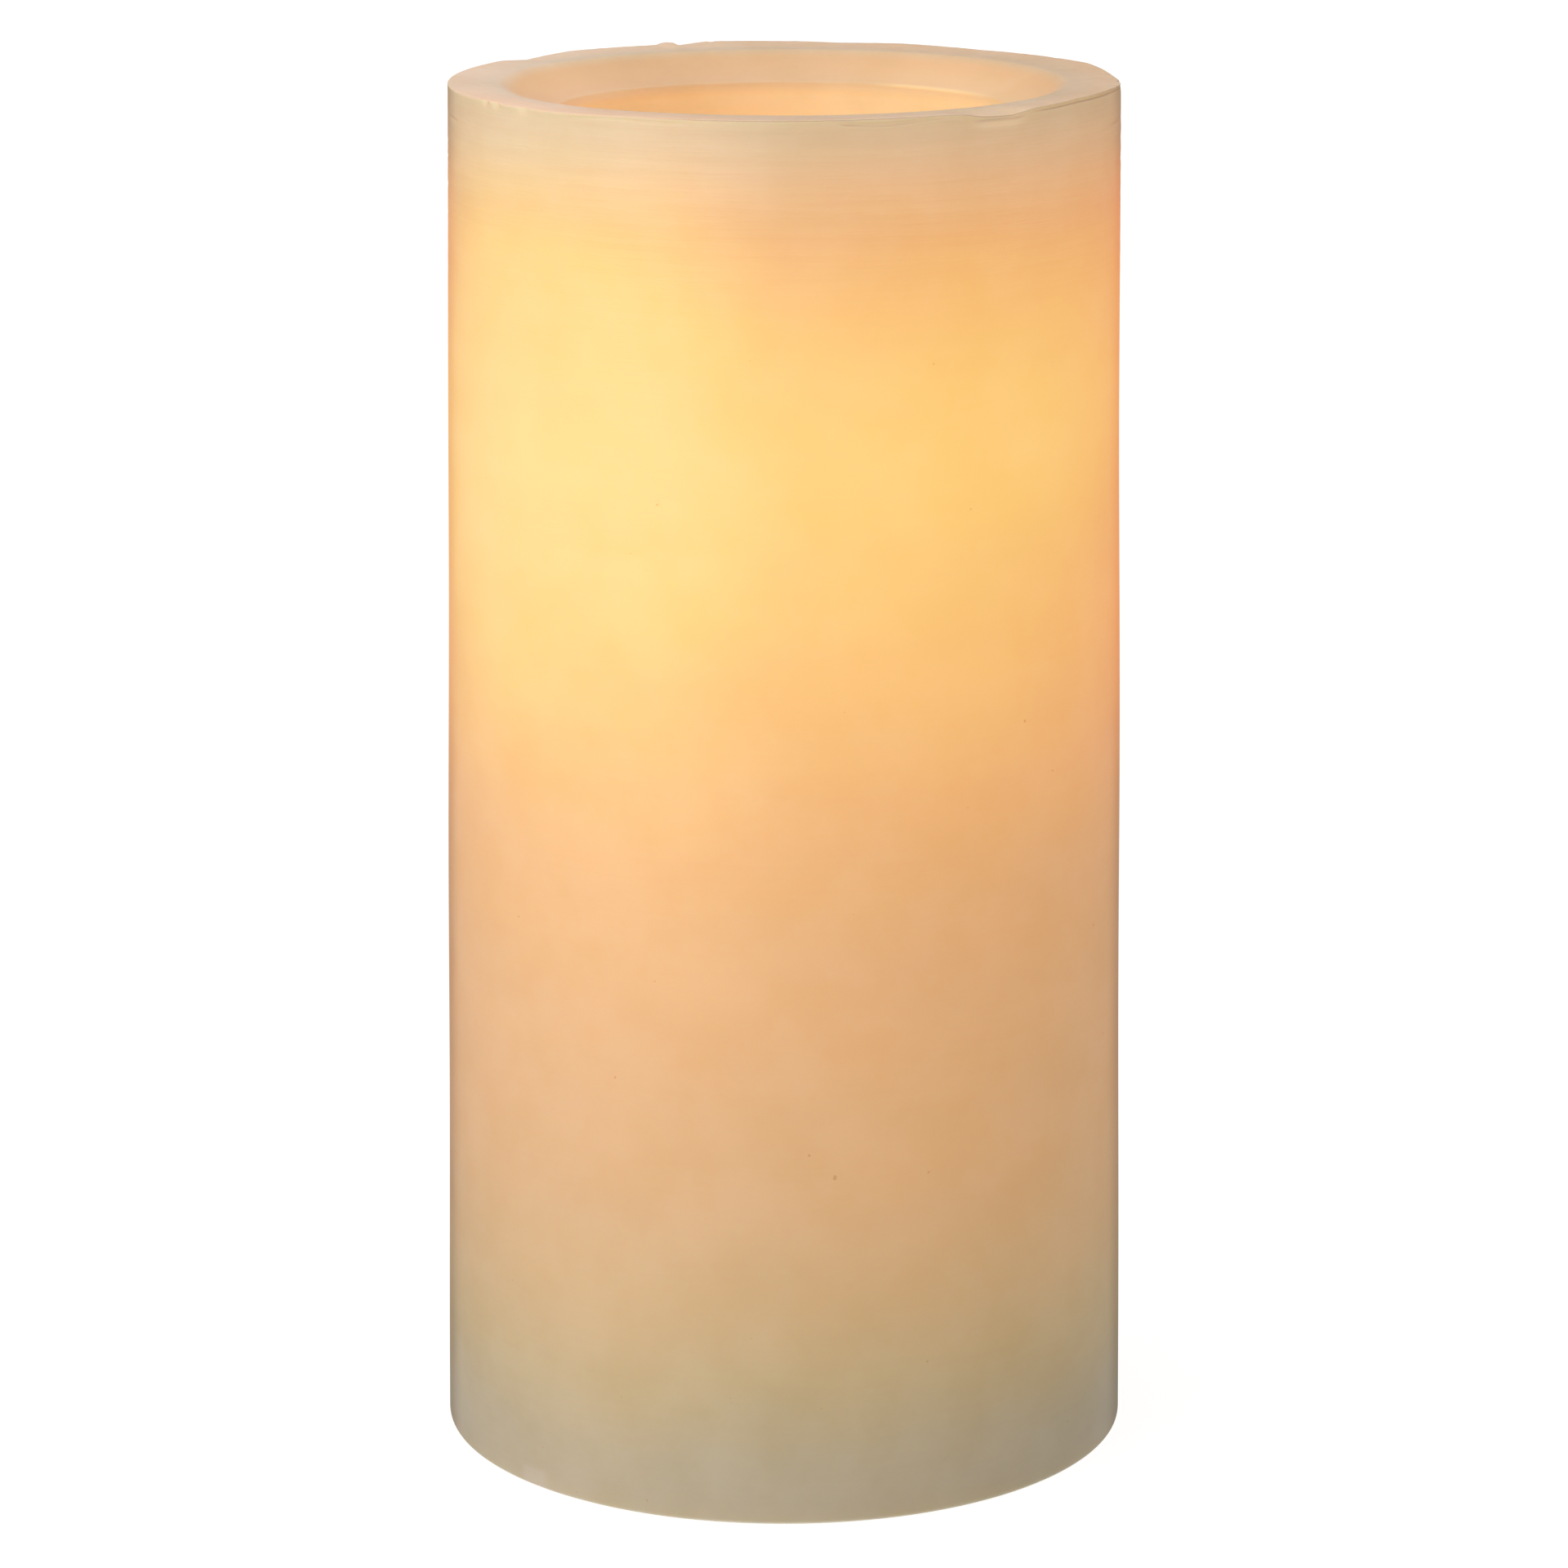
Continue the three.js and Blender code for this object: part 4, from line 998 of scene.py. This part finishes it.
def hardware():
    """Everything inside the wax, with one material for each finish."""
    ivory = moulded("ivory_abs", (0.74, 0.66, 0.50), (0.69, 0.60, 0.44))
    post = moulded("post_abs", (0.76, 0.69, 0.54), (0.70, 0.62, 0.47), 1800.0)
    black = moulded("black_abs", (0.030, 0.030, 0.032), (0.018, 0.018, 0.019), 2600.0, (0.34, 0.50))
    nickel = metal("nickel_plate", (0.74, 0.72, 0.69), (0.58, 0.54, 0.48), (160, 2500, 160))
    wire_steel = metal("spring_steel", (0.76, 0.75, 0.73), (0.60, 0.57, 0.52),
                       (700, 700, 700), (0.16, 0.32))
    tin = metal("solder_tin", (0.78, 0.77, 0.75), (0.62, 0.60, 0.56), (500, 500, 500), (0.18, 0.36))
    screw = metal("screw_steel", (0.66, 0.66, 0.67), (0.48, 0.47, 0.46),
                  (900, 900, 160), (0.22, 0.40))
    refined("base_housing", "housing_moulding", ivory)
    refined("base_cover", "cover_moulding", ivory, bevel=0.12 * MM)
    refined("battery_door", "door_moulding", ivory, "battery_door")
    refined("switch_knob", "knob_moulding", black, "switch_knob", 0.12 * MM)
    refined("led_post", "post_moulding", post)
    refined("switch_body", "switch_can", nickel, bevel=0.1 * MM)
    for node, name in (("negative_contact", "negative_tab"), ("positive_contact", "positive_tab"),
                       ("bridge_contact", "bridge_plate")):
        refined(node, name, nickel, bevel=0.06 * MM)
    for kind in ("cover", "board", "post"):
        for i in range(1, 4 if kind == "cover" else 3):
            refined(f"{kind}_screw_{i}", f"{kind}_fastener_{i}", screw,
                    bevel=0.05 * MM)
    refined("circuit_board", "board_laminate", board_look(), bevel=0.05 * MM)
    refined("timer_chip", "timer_epoxy", chip_look(), bevel=0.05 * MM)
    refined("smoothing_capacitor", "capacitor_body", capacitor_look(), bevel=0.1 * MM)
    refined("timer_crystal", "crystal_can", tin, bevel=0.06 * MM)
    refined("led_resistor", "resistor_with_legs", resistor_look(), bevel=0.06 * MM)
    refined("driver_transistor", "transistor_body", black, bevel=0.08 * MM)
    for side in ("plus", "minus"):
        refined(f"led_lead_{side}", f"lamp_lead_{side}", tin, bevel=0.05 * MM)
    for i, way in ((1, 1), (2, -1)):
        cell = f"battery_{i}"
        battery(cell, f"aa_cell_{i}", way)
        spring(f"contact_spring_{i}", f"coil_spring_{i}", cell, way, wire_steel)
    wires(tin)
    led_and_cap()
    glue()
    switch_marks(ivory)


# ---------------------------------------------------------------- stage

CAMERA_BACK = 0.646
CAMERA_HEIGHT = 0.226
CAMERA_RISE = -0.8755  # how far the lens is shifted, in picture widths
LENS = 130.6  # focal length and sensor width, in millimetres
SENSOR = 36
DIM_WORLD = (0.21, 0.21, 0.215)
WHITE = (1, 1, 1)


def stage():
    """A pale floor for the eye only: it neither shades nor lights the candle."""
    look = Look("pale_floor")
    back = look.add("ShaderNodeNewGeometry").outputs["Backfacing"]
    x, y, _ = look.xyz()
    brightness = look.span(look.length(x, y), 0.15, 1.2, 0.81, 1.0)
    look.set(Base_Color=(0.36, 0.36, 0.36), Roughness=0.9, Emission_Color=WHITE,
             Emission_Strength=brightness, Alpha=look.flip(back))
    size = 8.0
    mesh = bpy.data.meshes.new("floor")
    corners = [(x * size, y * size, 0) for x, y in ((-1, -1), (1, -1), (1, 1), (-1, 1))]
    mesh.from_pydata(corners, [], [(0, 1, 2, 3)])
    mesh.materials.append(look.material)
    floor = placed("floor", mesh)
    for kind in ("diffuse", "glossy", "transmission", "shadow"):
        setattr(floor, "visible_" + kind, False)


def area_light(name, place, target, size, power):
    data = bpy.data.lights.new(name, "AREA")
    data.shape = "RECTANGLE"
    data.size, data.size_y = size
    data.energy = power
    light = placed(name, data)
    light.location = place
    light.rotation_euler = (Vector(target) - Vector(place)).to_track_quat("-Z", "Y").to_euler()


def lights():
    """Soft lights round the candle, and a white background that lights it less."""
    area_light("key", (-0.75, -0.75, 0.45), (0, 0, 0.08), (0.6, 0.8), 3.6)
    area_light("overhead", (0, 0, 1.2), (0, 0, 0), (1.2, 1.2), 7)
    area_light("bounce", (0, 0, -0.6), (0, 0, 0), (0.2, 0.2), 1.8)
    area_light("side_fill", (0.95, 0.12, 0.3), (0, 0, 0.08), (0.4, 0.8), 1.0)
    world = bpy.data.worlds.new("studio")
    bpy.context.scene.world = world
    world.use_nodes = True
    tree = world.node_tree
    background = tree.nodes["Background"]
    path = tree.nodes.new("ShaderNodeLightPath")
    mix = tree.nodes.new("ShaderNodeMix")
    mix.data_type = "RGBA"
    mix.inputs[6].default_value = (*DIM_WORLD, 1)
    mix.inputs[7].default_value = (*WHITE, 1)
    tree.links.new(path.outputs["Is Camera Ray"], mix.inputs["Factor"])
    tree.links.new(mix.outputs[2], background.inputs["Color"])


def camera():
    """A level camera in front of the candle, with its lens shifted down as in architectural pictures."""
    data = bpy.data.cameras.new("camera")
    data.lens = LENS
    data.sensor_width = SENSOR
    eye = placed("camera", data)
    eye.location = (0, -CAMERA_BACK, CAMERA_HEIGHT)
    eye.rotation_euler = (math.pi / 2, 0, 0)
    bpy.context.scene.camera = eye
    # the shift only applies while the camera stands in its own place, so other views stay centred
    driver = data.driver_add("shift_y").driver
    driver.type = "SCRIPTED"
    for name, channel in (("y", "LOC_Y"), ("z", "LOC_Z")):
        variable = driver.variables.new()
        variable.name = name
        variable.type = "TRANSFORMS"
        variable.targets[0].id = eye
        variable.targets[0].transform_type = channel
    driver.expression = (f"{CAMERA_RISE} if abs(y + {CAMERA_BACK}) < 0.001 and "
                         f"abs(z - {CAMERA_HEIGHT}) < 0.001 else 0")


wax_shell()
hardware()
stage()
lights()
camera()
bpy.context.scene.view_settings.view_transform = "Standard"
